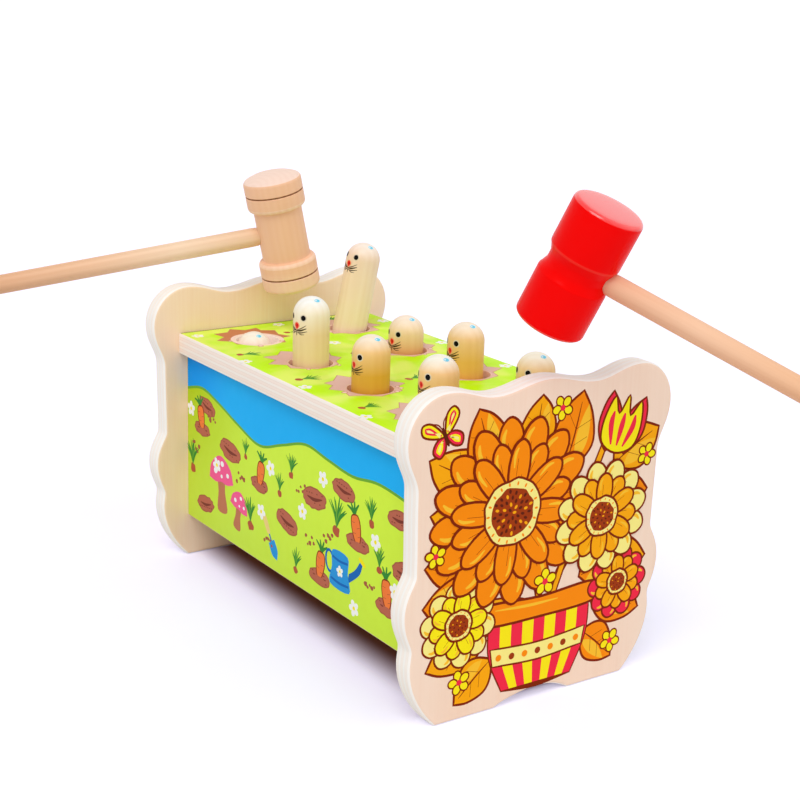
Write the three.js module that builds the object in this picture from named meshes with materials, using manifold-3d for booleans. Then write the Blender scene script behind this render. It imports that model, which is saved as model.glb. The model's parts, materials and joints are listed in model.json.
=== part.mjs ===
/**
 * Wooden whack-a-mole bench toy with two hammers, in millimetres, +Z up.
 *
 * Two cut-out end panels carry a top board with two rows of four holes. A turned wooden mole
 * slides in each hole. The near and the far mole of a row share a strap that runs over a ridge
 * bar under the board, so one comes up as far as the other is knocked down.
 * The toy stands on the feet of its end panels, and the hammers are shown raised beside it.
 *
 * The toy has a frame of its own: X across it, Y along it with the front panel at -Y, and its
 * origin on the floor under its middle. The set's origin is under the middle of toy and hammers
 * together, so the whole toy group is moved by toyShiftX and toyShiftY.
 */
import * as THREE from 'three';
import { mergeVertices } from 'three/addons/utils/BufferGeometryUtils.js';
import Module from 'manifold-3d';

const wasm = await Module();
wasm.setup();

// Place of the toy's middle in the frame of the whole set.
const toyShiftX = 27;
const toyShiftY = 43;

// End panels: a wavy outline, the same front and rear.
const panelWidth = 162;
const panelHeight = 166.6;
const panelThickness = 12;
const panelEdgeRound = 2;

// Top board, which lies between the end panels.
const boardLength = 246;
const boardWidth = 130;
const boardThickness = 12;
const boardTop = 139;

// Side boards, set in from the edges of the top board.
const sideSetIn = 5.5;
const sideThickness = 5;
const sideBottom = 26;

// Base board between the side boards, on screwed corner blocks.
const baseThickness = 5;
const baseRecess = 4;
const blockSize = 16;
const blockHeight = 26;
const blockChamfer = 6;
const screwShankRadius = 1.5;
const screwHeadRadius = 3.4;
const screwHeadHeight = 2;
const screwLength = 19;
const screwTipLength = 3;
const screwInset = 7;

// Dowels that hold the top board to the end panels.
const dowelRadius = 3;
const dowelInBoard = 14;
const dowelInPanel = 7;
const dowelInset = 20;

// Moles and the grid of holes that they slide in. The first and the last row lie a margin in
// from the ends of the board.
const rowMargin = 33.75;
const rowCount = 4;
const pairSpacing = 63;
const moleRadius = 10;
const moleLength = 71.4;
const footRadius = 13;
const footThickness = 4;
const holeRadius = 12.2;
const pairRiseSum = 57;
const nearRises = [4.5, 37, 28.5, 31.5];
const leaningRow = 0;
const leanDegrees = 9.5;
const leanHeadingDegrees = -34;

// Some moles stand to one side of their holes: how far, as shares of the clearance round them,
// for the near and the far mole of each row.
const slipHeadingDegrees = 152;
const slipShares = [[0.86, 0.4], [0, 0], [0, 0.86], [0, 0.86]];

// Ridge bar, straps and the tacks that hold the straps to the moles' feet.
const ridgeWidth = 26;
const ridgeHeight = 14;
const ridgeDrop = 1.75;
const ridgeRound = 3;
const strapThickness = 1;
const strapWidth = 8;
const strapOverTack = 3.5;
const strapBend = 1.6;
const strapToFoot = 1.1;
const tackHeadRadius = 3;
const tackHeadThickness = 1;
const tackShankRadius = 0.9;
const tackShankLength = 8.5;
const tackBoreDepth = 9;
const tackToStrap = 0.7;

// Hammers: a plain wooden one and a painted one, each with its own head.
const handleRadius = 5.5;
const handleEnd = 173;
const handleStart = 3;
const handleNeckRadius = 5;
const handleNeckLength = 4;
const handleTailRound = 3;
const woodHeadRadius = 16.9;
const woodHeadLength = 67.2;
const woodHeadRound = 2.4;
const woodCapLength = 8.4;
const woodGrooveWidth = 0.9;
const woodGrooveDepth = 0.7;
const woodBandLength = 6.6;
const woodShoulderLength = 2.7;
const woodWaistRadius = 14;
const paintedHeadRadius = 17.25;
const paintedHeadLength = 62.5;
const paintedHeadRound = 2.2;
const paintedBarrelLength = 25.3;
const paintedWaistRadius = 15.1;
const paintedWaistLength = 4;

// Where the hammers are held: the middle of the head is given by its place across the toy, its
// distance past the nearer end of the board, and its rise above the end panels. Then come the
// directions of the head's axis and of the handle, as shares of a unit length along X, Y and Z.
const woodHammerX = -8.2;
const woodHammerPastEnd = -20.6;
const woodHammerRise = 31.2;
const woodAxisShares = [-0.228, -0.008, 0.974];
const woodHandleShares = [-0.865, 0.465, -0.188];
const paintedHammerX = 0.3;
const paintedHammerPastEnd = 26.8;
const paintedHammerRise = 55;
const paintedAxisShares = [0.192, -0.382, 0.904];
const paintedHandleShares = [0.588, -0.693, -0.418];

// Clearances: between fitted pieces, and the overrun of a cut past the face that it opens.
const fitGap = 0.3;
const cutOverrun = 2;

// Facet counts.
const roundSides = 28;
const smallSides = 12;
const outlineSteps = 6;
const domeSteps = 5;
const roundSteps = 3;

// Half of an end panel's outline, from the crown of the top edge to the arch between the feet.
// Each station gives its place as shares of the half width and of the height, its heading, and
// how far its curve reaches back and ahead, as shares of the distance to the next station.
const outlineShares = [
  { name: 'crown', across: 0, up: 0.996, heading: [1, 0], back: 0, ahead: 0.38 },
  { name: 'dip beside crown', across: 0.375, up: 0.968, heading: [1, 0], back: 0.38, ahead: 0.36 },
  { name: 'corner lobe top', across: 0.722, up: 1, heading: [1, 0], back: 0.42, ahead: 0.39 },
  { name: 'corner lobe side', across: 1, up: 0.864, heading: [0, -1], back: 0.39, ahead: 0.45 },
  { name: 'waist top', across: 0.918, up: 0.72, heading: [0, -1], back: 0.3, ahead: 0.3 },
  { name: 'waist foot', across: 0.909, up: 0.477, heading: [0, -1], back: 0.3, ahead: 0.16 },
  { name: 'elbow lobe', across: 0.985, up: 0.362, heading: [0, -1], back: 0.5, ahead: 0.5 },
  { name: 'dip above knee', across: 0.927, up: 0.25, heading: [0, -1], back: 0.16, ahead: 0.25 },
  { name: 'knee lobe', across: 0.936, up: 0.2, heading: [0, -1], back: 0.3, ahead: 0.42 },
  { name: 'foot corner', across: 0.732, up: 0, heading: [-0.75, -0.66], back: 0.18, ahead: 0 },
  { name: 'arch foot', across: 0.29, up: 0, heading: [-0.86, 0.5], back: 0, ahead: 0.3 },
  { name: 'arch middle', across: 0, up: 0.034, heading: [-1, 0], back: 0.5, ahead: 0 },
];

// Places that follow from the sizes above.
const boardUnderside = boardTop - boardThickness;
const boardMiddle = boardTop - boardThickness / 2;
const sideOuterX = boardWidth / 2 - sideSetIn;
const sideInnerX = sideOuterX - sideThickness;
const baseUnderside = sideBottom + baseRecess;
const baseTop = baseUnderside + baseThickness;
const ridgeTop = boardUnderside - ridgeDrop;
const rowPitch = (boardLength - 2 * rowMargin) / (rowCount - 1);
const woodHammerY = boardLength / 2 + woodHammerPastEnd;
const woodHammerZ = panelHeight + woodHammerRise;
const paintedHammerY = -(boardLength / 2 + paintedHammerPastEnd);
const paintedHammerZ = panelHeight + paintedHammerRise;

const paleWood = new THREE.MeshStandardMaterial({ color: 0xf2dcc6, roughness: 0.55, metalness: 0 });
const plyWood = new THREE.MeshStandardMaterial({ color: 0xe3c598, roughness: 0.6, metalness: 0 });
const moleWood = new THREE.MeshStandardMaterial({ color: 0xf0d6ae, roughness: 0.45, metalness: 0 });
const beechWood = new THREE.MeshStandardMaterial({ color: 0xebba94, roughness: 0.5, metalness: 0 });
const lawnPrint = new THREE.MeshStandardMaterial({ color: 0xd2f02d, roughness: 0.4, metalness: 0 });
const scenePrint = new THREE.MeshStandardMaterial({ color: 0xb4dc37, roughness: 0.4, metalness: 0 });
const redPaint = new THREE.MeshStandardMaterial({ color: 0xe60c0c, roughness: 0.15, metalness: 0 });
const webbing = new THREE.MeshStandardMaterial({ color: 0xe9e4da, roughness: 0.9, metalness: 0 });
const steel = new THREE.MeshStandardMaterial({ color: 0xb9bcc0, roughness: 0.35, metalness: 1 });

/** A named mesh of one sub-part. */
function piece(name, geometry, material) {
  const mesh = new THREE.Mesh(geometry, material);
  mesh.name = name;
  return mesh;
}

/** A solid for cutting and joining, made from a closed geometry. */
function toSolid(geometry) {
  const bare = geometry.clone();
  bare.deleteAttribute('normal');
  bare.deleteAttribute('uv');
  const merged = mergeVertices(bare);
  const vertProperties = new Float32Array(merged.attributes.position.array);
  const triVerts = new Uint32Array(merged.index.array);
  return new wasm.Manifold(new wasm.Mesh({ numProp: 3, vertProperties, triVerts }));
}

/** A geometry made from a solid after cutting and joining. */
function toGeometry(solid) {
  const mesh = solid.getMesh();
  const geometry = new THREE.BufferGeometry();
  geometry.setAttribute('position', new THREE.BufferAttribute(mesh.vertProperties, mesh.numProp));
  geometry.setIndex(new THREE.BufferAttribute(mesh.triVerts, 1));
  geometry.computeVertexNormals();
  return geometry;
}

/** The geometry left after the tools are cut out of the body. */
function cutAway(body, tools) {
  const cut = tools.reduce((solid, tool) => solid.subtract(toSolid(tool)), toSolid(body));
  return toGeometry(cut);
}

/** A round solid from a profile of radius and height pairs that starts and ends on the axis. */
function revolve(profile, sides) {
  const points = profile.map(([radius, height]) => new THREE.Vector2(radius, height));
  return new THREE.LatheGeometry(points, sides);
}

/** A plain round rod along +Z that starts at the given height. */
function rod(radius, length, start, sides) {
  const turned = new THREE.CylinderGeometry(radius, radius, length, sides);
  turned.rotateX(Math.PI / 2);
  turned.translate(0, 0, start + length / 2);
  return turned;
}

/** A revolved solid turned so that its axis, which three.js lays along Y, is upright. */
function upright(geometry) {
  geometry.rotateX(Math.PI / 2);
  return geometry;
}

/** Profile points of a quarter round, from one angle to another about a centre. */
function quarterRound(radius, centreRadius, centreHeight, from, to, steps) {
  return Array.from({ length: steps + 1 }, (unused, step) => {
    const angle = from + ((to - from) * step) / steps;
    return [centreRadius + radius * Math.cos(angle), centreHeight + radius * Math.sin(angle)];
  });
}

/** The closed outline of an end panel, with its feet on zero height. */
function panelOutline() {
  const halfWidth = panelWidth / 2;
  const right = outlineShares.map((station) => ({
    ...station,
    point: new THREE.Vector2(station.across * halfWidth, station.up * panelHeight),
    direction: new THREE.Vector2(...station.heading).normalize(),
  }));
  const left = right.map((station) => ({
    ...station,
    point: new THREE.Vector2(-station.point.x, station.point.y),
    direction: new THREE.Vector2(station.direction.x, -station.direction.y),
    back: station.ahead,
    ahead: station.back,
  }));
  left.reverse();
  const stations = [...right, ...left.slice(1)];
  const shape = new THREE.Shape();
  shape.moveTo(stations[0].point.x, stations[0].point.y);
  for (let index = 1; index < stations.length; index += 1) {
    const from = stations[index - 1];
    const to = stations[index];
    const distance = from.point.distanceTo(to.point);
    if (from.ahead === 0 && to.back === 0) {
      shape.lineTo(to.point.x, to.point.y);
    } else {
      const leave = from.direction.clone().multiplyScalar(from.ahead * distance).add(from.point);
      const arrive = to.direction.clone().multiplyScalar(-to.back * distance).add(to.point);
      shape.bezierCurveTo(leave.x, leave.y, arrive.x, arrive.y, to.point.x, to.point.y);
    }
  }
  return shape;
}

/** Places across the board of the two dowels at each of its ends. */
function dowelPlaces() {
  return [dowelInset - boardWidth / 2, boardWidth / 2 - dowelInset];
}

/** An end panel with rounded edges, its inner face on y = 0 and its outer face towards -Y. */
function endPanelGeometry() {
  const body = new THREE.ExtrudeGeometry(panelOutline(), {
    depth: panelThickness - 2 * panelEdgeRound,
    bevelEnabled: true,
    bevelThickness: panelEdgeRound,
    bevelSize: panelEdgeRound,
    bevelOffset: -panelEdgeRound,
    bevelSegments: 2,
    curveSegments: outlineSteps,
  });
  body.translate(0, 0, panelEdgeRound);
  body.rotateX(Math.PI / 2);
  const bores = dowelPlaces().map((x) => {
    const bore = rod(dowelRadius + fitGap, dowelInPanel + fitGap + cutOverrun, -cutOverrun, smallSides);
    bore.rotateX(Math.PI / 2);
    bore.translate(x, 0, boardMiddle);
    return bore;
  });
  return cutAway(body, bores);
}

/** The front and the rear end panel, alike and facing outwards. */
function endPanels() {
  const front = piece('front_panel', endPanelGeometry(), paleWood);
  front.position.y = -boardLength / 2;
  const rearGeometry = endPanelGeometry();
  rearGeometry.rotateZ(Math.PI);
  const rear = piece('rear_panel', rearGeometry, paleWood);
  rear.position.y = boardLength / 2;
  return [front, rear];
}

/** Place along the toy of a row of holes, counted from the rear. */
function rowY(row) {
  return ((rowCount - 1) / 2 - row) * rowPitch;
}

/** The top board with its eight holes and the dowel bores in its ends. */
function topBoard() {
  const outline = new THREE.Shape();
  outline.moveTo(-boardWidth / 2, -boardLength / 2);
  outline.lineTo(boardWidth / 2, -boardLength / 2);
  outline.lineTo(boardWidth / 2, boardLength / 2);
  outline.lineTo(-boardWidth / 2, boardLength / 2);
  outline.closePath();
  for (let row = 0; row < rowCount; row += 1) {
    for (const x of [-pairSpacing / 2, pairSpacing / 2]) {
      const hole = new THREE.Path();
      hole.absarc(x, rowY(row), holeRadius, 0, 2 * Math.PI, true);
      outline.holes.push(hole);
    }
  }
  const board = new THREE.ExtrudeGeometry(outline, {
    depth: boardThickness,
    bevelEnabled: false,
    curveSegments: roundSides / 2,
  });
  board.translate(0, 0, boardUnderside);
  const bores = [];
  for (const end of [-1, 1]) {
    for (const x of dowelPlaces()) {
      const bore = rod(dowelRadius + fitGap, dowelInBoard + fitGap + cutOverrun, -cutOverrun, smallSides);
      bore.rotateX((end * Math.PI) / 2);
      bore.translate(x, (end * boardLength) / 2, boardMiddle);
      bores.push(bore);
    }
  }
  return piece('top_board', cutAway(board, bores), lawnPrint);
}

/** The dowels between the top board and the end panels. */
function boardDowels() {
  const pieces = [];
  const [leftX, rightX] = dowelPlaces();
  for (const [endName, end] of [['front', -1], ['rear', 1]]) {
    for (const [sideName, x] of [['left', leftX], ['right', rightX]]) {
      const dowel = rod(dowelRadius, dowelInBoard + dowelInPanel, -dowelInBoard, smallSides);
      dowel.rotateX((-end * Math.PI) / 2);
      const mesh = piece(`${endName}_${sideName}_dowel`, dowel, beechWood);
      mesh.position.set(x, (end * boardLength) / 2, boardMiddle);
      pieces.push(mesh);
    }
  }
  return pieces;
}

/** The two thin side boards that close the box below the top board. */
function sideBoards() {
  const height = boardUnderside - sideBottom;
  return [['left_side', -1], ['right_side', 1]].map(([name, side]) => {
    const mesh = piece(name, new THREE.BoxGeometry(sideThickness, boardLength, height), scenePrint);
    mesh.position.set(side * (sideOuterX - sideThickness / 2), 0, sideBottom + height / 2);
    return mesh;
  });
}

/** The four inner corners of the box, each with its name and the signs of its X and Y. */
function innerCorners() {
  return [
    { name: 'front_left', signX: -1, signY: -1 },
    { name: 'front_right', signX: 1, signY: -1 },
    { name: 'rear_left', signX: -1, signY: 1 },
    { name: 'rear_right', signX: 1, signY: 1 },
  ];
}

/** Place of a base screw, set in from an inner corner of the box. */
function screwPlace(corner) {
  return [corner.signX * (sideInnerX - screwInset), corner.signY * (boardLength / 2 - screwInset)];
}

/** Profile of a countersunk screw along +Z with the head down, made larger by a clearance. */
function screwProfile(clearance) {
  const shank = screwShankRadius + clearance;
  return [
    [0, -clearance],
    [screwHeadRadius + clearance, -clearance],
    [shank, screwHeadHeight],
    [shank, screwLength - screwTipLength],
    [0, screwLength + clearance],
  ];
}

/** The base board, countersunk from below for its four screws. */
function baseBoard() {
  const board = new THREE.BoxGeometry(2 * sideInnerX, boardLength, baseThickness);
  board.translate(0, 0, baseUnderside + baseThickness / 2);
  const cuts = innerCorners().map((corner) => {
    const cut = upright(revolve(screwProfile(fitGap), smallSides));
    cut.translate(...screwPlace(corner), baseUnderside);
    return cut;
  });
  return piece('base_board', cutAway(board, cuts), plyWood);
}

/** The glued corner blocks that the base board is screwed to. */
function cornerBlocks() {
  return innerCorners().map((corner) => {
    const outline = new THREE.Shape();
    outline.moveTo(0, 0);
    outline.lineTo(blockSize, 0);
    outline.lineTo(blockSize, blockSize - blockChamfer);
    outline.lineTo(blockSize - blockChamfer, blockSize);
    outline.lineTo(0, blockSize);
    outline.closePath();
    const block = new THREE.ExtrudeGeometry(outline, { depth: blockHeight, bevelEnabled: false });
    const quarterTurns = { front_left: 0, front_right: 1, rear_right: 2, rear_left: 3 }[corner.name];
    block.rotateZ((quarterTurns * Math.PI) / 2);
    block.translate(corner.signX * sideInnerX, (corner.signY * boardLength) / 2, baseTop);
    const bore = upright(revolve(screwProfile(fitGap), smallSides));
    bore.translate(...screwPlace(corner), baseUnderside);
    return piece(`${corner.name}_block`, cutAway(block, [bore]), beechWood);
  });
}

/** The base screws, driven up from below. */
function baseScrews() {
  return innerCorners().map((corner) => {
    const mesh = piece(`${corner.name}_screw`, upright(revolve(screwProfile(0), smallSides)), steel);
    mesh.position.set(...screwPlace(corner), baseUnderside);
    return mesh;
  });
}

/** The ridge bar under the middle of the top board, rounded where the straps run over it. */
function ridgeBar() {
  const half = ridgeWidth / 2;
  const outline = new THREE.Shape();
  outline.moveTo(-half, 0);
  outline.lineTo(half, 0);
  outline.lineTo(half, ridgeHeight - ridgeRound);
  outline.absarc(half - ridgeRound, ridgeHeight - ridgeRound, ridgeRound, 0, Math.PI / 2, false);
  outline.absarc(ridgeRound - half, ridgeHeight - ridgeRound, ridgeRound, Math.PI / 2, Math.PI, false);
  outline.closePath();
  const bar = new THREE.ExtrudeGeometry(outline, {
    depth: boardLength,
    bevelEnabled: false,
    curveSegments: roundSteps,
  });
  bar.rotateX(Math.PI / 2);
  bar.translate(0, boardLength / 2, ridgeTop - ridgeHeight);
  return piece('ridge_bar', bar, beechWood);
}

/** How each mole stands: its side, row, rise above the board, lean and slip to one side. */
function molePlaces() {
  const places = [];
  for (let row = 0; row < rowCount; row += 1) {
    const nearRise = nearRises[row];
    const lean = row === leaningRow ? THREE.MathUtils.degToRad(leanDegrees) : 0;
    const [nearSlip, farSlip] = slipShares[row].map((share) => share * (holeRadius - moleRadius));
    places.push(
      { name: `mole_a${row + 1}`, side: -1, row, rise: nearRise, lean: 0, slip: nearSlip },
      { name: `mole_b${row + 1}`, side: 1, row, rise: pairRiseSum - nearRise, lean, slip: farSlip },
    );
  }
  return places;
}

/** The turn that leans an upright piece towards the heading of the lean. */
function leanTurn(place) {
  const heading = THREE.MathUtils.degToRad(leanHeadingDegrees);
  const axis = new THREE.Vector3(-Math.sin(heading), Math.cos(heading), 0);
  return new THREE.Quaternion().setFromAxisAngle(axis, place.lean);
}

/** Height of a mole's foot along its own axis, from the middle of the board's thickness. */
function footDrop(place) {
  return boardThickness / 2 / Math.cos(place.lean) + place.rise - moleLength;
}

/** The middle of the underside of a mole's foot. */
function footPoint(place) {
  const heading = THREE.MathUtils.degToRad(slipHeadingDegrees);
  const slip = new THREE.Vector3(Math.cos(heading), Math.sin(heading), 0).multiplyScalar(place.slip);
  const hole = new THREE.Vector3((place.side * pairSpacing) / 2, rowY(place.row), boardMiddle);
  const drop = new THREE.Vector3(0, 0, footDrop(place)).applyQuaternion(leanTurn(place));
  return drop.add(hole).add(slip);
}

/** Moves and leans a piece that was built with its foot's underside at the origin. */
function seatOnFoot(mesh, place) {
  mesh.quaternion.copy(leanTurn(place));
  mesh.position.copy(footPoint(place));
  return mesh;
}

/** A turned mole: a flanged foot, a straight body and a domed head, bored for its tack. */
function moleGeometry() {
  const boreRadius = tackShankRadius + fitGap;
  const dome = quarterRound(moleRadius, 0, moleLength - moleRadius, 0, Math.PI / 2, domeSteps);
  dome[dome.length - 1][0] = 0;
  return upright(revolve([
    [0, tackBoreDepth],
    [boreRadius, tackBoreDepth],
    [boreRadius, 0],
    [footRadius, 0],
    [footRadius, footThickness],
    [moleRadius, footThickness],
    ...dome,
  ], roundSides));
}

/** The eight moles. */
function moles() {
  return molePlaces().map((place) => seatOnFoot(piece(place.name, moleGeometry(), moleWood), place));
}

/** The tacks that hold the straps under the moles' feet. */
function strapTacks() {
  const headTop = -(strapToFoot + strapThickness + tackToStrap);
  const profile = [
    [0, headTop - tackHeadThickness],
    [tackHeadRadius / 2, headTop - tackHeadThickness],
    [tackHeadRadius, headTop],
    [tackShankRadius, headTop],
    [tackShankRadius, headTop + tackShankLength - tackShankRadius],
    [0, headTop + tackShankLength],
  ];
  return molePlaces().map((place) => {
    const name = place.name.replace('mole', 'tack');
    return seatOnFoot(piece(name, upright(revolve(profile, smallSides)), steel), place);
  });
}

/** Points of a path whose corners are rounded, each round limited by its neighbouring runs. */
function roundedPath(corners) {
  const path = new THREE.Path();
  path.moveTo(corners[0].x, corners[0].y);
  for (let index = 1; index < corners.length - 1; index += 1) {
    const corner = corners[index];
    const before = corners[index - 1].clone().sub(corner);
    const after = corners[index + 1].clone().sub(corner);
    const reach = Math.min(corner.bend, before.length() / 2, after.length() / 2);
    const enter = before.setLength(reach).add(corner);
    const leave = after.setLength(reach).add(corner);
    path.lineTo(enter.x, enter.y);
    path.quadraticCurveTo(corner.x, corner.y, leave.x, leave.y);
  }
  const last = corners[corners.length - 1];
  path.lineTo(last.x, last.y);
  const isNew = (point, index, all) => index === 0 || point.distanceTo(all[index - 1]) > 0;
  return path.getPoints(roundSteps).filter(isNew);
}

/** A ribbon's cross-cut shape: a path thickened evenly to both sides. */
function ribbonShape(points, thickness) {
  const offset = (side) => points.map((point, index) => {
    const before = points[Math.max(index - 1, 0)];
    const after = points[Math.min(index + 1, points.length - 1)];
    const along = after.clone().sub(before).normalize();
    const run = (index > 0 ? point.clone().sub(before) : after.clone().sub(point)).normalize();
    const spread = (side * thickness) / 2 / along.dot(run);
    return new THREE.Vector2(point.x - along.y * spread, point.y + along.x * spread);
  });
  return new THREE.Shape([...offset(-1), ...offset(1).reverse()]);
}

/** The corner points of one strap's middle line, from the near mole's foot to the far one's. */
function strapCorners(near, far) {
  const beside = fitGap + strapThickness / 2;
  const corner = (x, z, bend) => Object.assign(new THREE.Vector2(x, z), { bend });
  const overRidge = ridgeTop + beside;
  const underFoot = (foot) => foot.z - strapToFoot - strapThickness / 2;
  const besideFoot = (foot) => Math.abs(foot.x) - footRadius - beside;
  const ridgeCorner = ridgeWidth / 2 + beside;
  return [
    corner(near.x - strapOverTack, underFoot(near), 0),
    corner(-besideFoot(near), underFoot(near), strapBend),
    corner(-ridgeCorner, overRidge, ridgeRound + beside),
    corner(ridgeCorner, overRidge, ridgeRound + beside),
    corner(besideFoot(far), underFoot(far), strapBend),
    corner(far.x + strapOverTack, underFoot(far), 0),
  ];
}

/** The straps over the ridge bar, one for each pair of moles. */
function straps() {
  const places = molePlaces();
  return Array.from({ length: rowCount }, (unused, row) => {
    const [near, far] = places.filter((place) => place.row === row).map(footPoint);
    const middleLine = roundedPath(strapCorners(near, far));
    const strap = new THREE.ExtrudeGeometry(ribbonShape(middleLine, strapThickness), {
      depth: strapWidth,
      bevelEnabled: false,
    });
    strap.rotateX(Math.PI / 2);
    strap.translate(0, (near.y + far.y) / 2 + strapWidth / 2, 0);
    const holes = [near, far].map((foot) => {
      const hole = rod(tackShankRadius + fitGap + strapToFoot / 2, 2 * cutOverrun, -cutOverrun, smallSides);
      hole.translate(foot.x, foot.y, foot.z - strapToFoot - strapThickness / 2);
      return hole;
    });
    return piece(`strap_${row + 1}`, cutAway(strap, holes), webbing);
  });
}

/** Half of a hammer head's profile mirrored into a whole one, from its lower end up. */
function mirroredProfile(lowerHalf) {
  const upperHalf = lowerHalf.map(([radius, height]) => [radius, -height]).reverse();
  return [...lowerHalf, ...upperHalf];
}

/** Lower end of a hammer head, with its edge rounded. */
function roundedEnd(radius, length, round) {
  const edge = quarterRound(round, radius - round, round - length / 2, -Math.PI / 2, 0, roundSteps);
  return [[0, -length / 2], ...edge];
}

/** Profile of the plain hammer's head: grooved caps, bands and a straight waist. */
function woodHeadProfile() {
  const end = -woodHeadLength / 2;
  const groove = end + woodCapLength;
  const band = groove + woodGrooveWidth;
  const shoulder = band + woodBandLength;
  return mirroredProfile([
    ...roundedEnd(woodHeadRadius, woodHeadLength, woodHeadRound),
    [woodHeadRadius, groove],
    [woodHeadRadius - woodGrooveDepth, groove + woodGrooveWidth / 2],
    [woodHeadRadius, band],
    [woodHeadRadius, shoulder],
    [woodWaistRadius, shoulder + woodShoulderLength],
  ]);
}

/** Profile of the painted hammer's head: two barrels joined by a narrow waist. */
function paintedHeadProfile() {
  return mirroredProfile([
    ...roundedEnd(paintedHeadRadius, paintedHeadLength, paintedHeadRound),
    [paintedHeadRadius, paintedBarrelLength - paintedHeadLength / 2],
    [paintedWaistRadius, -paintedWaistLength / 2],
  ]);
}

/** A hammer head along Z with the blind socket for its handle, which points along +X. */
function hammerHead(name, profile, reach, material) {
  const head = upright(revolve(profile, roundSides));
  const depth = handleStart - fitGap;
  const socket = rod(handleNeckRadius + fitGap, reach + cutOverrun - depth, depth, smallSides);
  socket.rotateY(Math.PI / 2);
  return piece(name, cutAway(head, [socket]), material);
}

/** A hammer handle along +X, with a neck that sits in the head and a rounded tail. */
function hammerHandle(name, waistRadius) {
  const shoulder = waistRadius + handleNeckLength;
  const tail = quarterRound(
    handleTailRound,
    handleRadius - handleTailRound,
    handleEnd - handleTailRound,
    0,
    Math.PI / 2,
    roundSteps,
  );
  const handle = upright(revolve([
    [0, handleStart],
    [handleNeckRadius, handleStart],
    [handleNeckRadius, waistRadius + fitGap],
    [handleRadius, shoulder],
    ...tail,
    [0, handleEnd],
  ], roundSides / 2));
  handle.rotateY(Math.PI / 2);
  return piece(name, handle, beechWood);
}

/** A group whose Z runs along a hammer head's axis and whose X runs along its handle. */
function heldAt(x, y, z, axisShares, handleShares, pieces) {
  const axis = new THREE.Vector3(...axisShares).normalize();
  const across = axis.clone().cross(new THREE.Vector3(...handleShares)).normalize();
  const handle = across.clone().cross(axis);
  const group = new THREE.Group();
  group.quaternion.setFromRotationMatrix(new THREE.Matrix4().makeBasis(handle, across, axis));
  group.position.set(x, y, z);
  group.add(...pieces);
  return group;
}

/** The plain wooden hammer, held over the rear of the board. */
function woodHammer() {
  return heldAt(woodHammerX, woodHammerY, woodHammerZ, woodAxisShares, woodHandleShares, [
    hammerHead('wood_hammer_head', woodHeadProfile(), woodHeadRadius, beechWood),
    hammerHandle('wood_hammer_handle', woodWaistRadius),
  ]);
}

/** The painted hammer, held in front of the board. */
function paintedHammer() {
  return heldAt(paintedHammerX, paintedHammerY, paintedHammerZ, paintedAxisShares, paintedHandleShares, [
    hammerHead('red_hammer_head', paintedHeadProfile(), paintedHeadRadius, redPaint),
    hammerHandle('red_hammer_handle', paintedWaistRadius),
  ]);
}

const toy = new THREE.Group();
toy.position.set(toyShiftX, toyShiftY, 0);
toy.add(
  ...endPanels(),
  topBoard(),
  ...boardDowels(),
  ...sideBoards(),
  baseBoard(),
  ...cornerBlocks(),
  ...baseScrews(),
  ridgeBar(),
  ...moles(),
  ...straps(),
  ...strapTacks(),
  woodHammer(),
  paintedHammer(),
);

const set = new THREE.Group();
set.add(toy);

export default set;
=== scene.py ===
"""Looks of a wooden pounding bench toy: eight turned moles in a printed bench, and two hammers.

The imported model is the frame. Lengths in the classes are in millimetres unless they say metres,
and MM turns them into Blender's metres. Prints are drawn flat, in millimetres on their board.
"""

import json
import logging
import math
import random
from contextlib import contextmanager
from dataclasses import dataclass, field
from enum import Enum
from typing import Callable, Iterator, Sequence

import bmesh
import bpy
from mathutils import Matrix, Quaternion, Vector


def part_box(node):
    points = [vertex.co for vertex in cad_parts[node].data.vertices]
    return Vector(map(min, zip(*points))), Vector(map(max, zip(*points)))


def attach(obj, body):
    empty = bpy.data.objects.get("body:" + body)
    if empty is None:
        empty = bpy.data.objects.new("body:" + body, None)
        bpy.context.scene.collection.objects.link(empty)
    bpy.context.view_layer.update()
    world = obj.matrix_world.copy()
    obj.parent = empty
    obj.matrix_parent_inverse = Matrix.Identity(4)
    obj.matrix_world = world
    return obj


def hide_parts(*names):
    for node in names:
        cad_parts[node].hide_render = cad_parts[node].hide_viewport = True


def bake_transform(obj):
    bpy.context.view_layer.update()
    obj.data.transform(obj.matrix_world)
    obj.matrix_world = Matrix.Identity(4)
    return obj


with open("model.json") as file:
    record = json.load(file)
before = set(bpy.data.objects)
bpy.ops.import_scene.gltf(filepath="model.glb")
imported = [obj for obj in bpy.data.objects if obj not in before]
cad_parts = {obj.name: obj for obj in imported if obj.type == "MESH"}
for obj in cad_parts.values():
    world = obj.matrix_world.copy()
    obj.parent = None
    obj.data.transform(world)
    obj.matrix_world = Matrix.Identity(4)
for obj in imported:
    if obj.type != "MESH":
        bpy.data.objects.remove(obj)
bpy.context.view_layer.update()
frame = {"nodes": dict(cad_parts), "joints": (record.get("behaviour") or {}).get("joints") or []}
MM = 0.001

log = logging.getLogger("bench_toy")

Piece = bpy.types.Object
Finish = bpy.types.Material
Face = bpy.types.MeshPolygon
Edge = bmesh.types.BMEdge
Socket = bpy.types.NodeSocket
Colour = tuple[int, int, int]
Point = tuple[float, float]
Loop = list[Point]


class Axis(Enum):
    """The three directions of the frame."""

    X = 0
    Y = 1
    Z = 2


# Mesh helpers


def deselect_all() -> None:
    """Leaves nothing selected and no object active."""
    bpy.ops.object.select_all(action="DESELECT")
    bpy.context.view_layer.objects.active = None


def choose(*pieces: Piece) -> None:
    """Selects these pieces alone, with the first one active."""
    deselect_all()
    for piece in pieces:
        piece.select_set(True)
    bpy.context.view_layer.objects.active = pieces[0]


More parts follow.
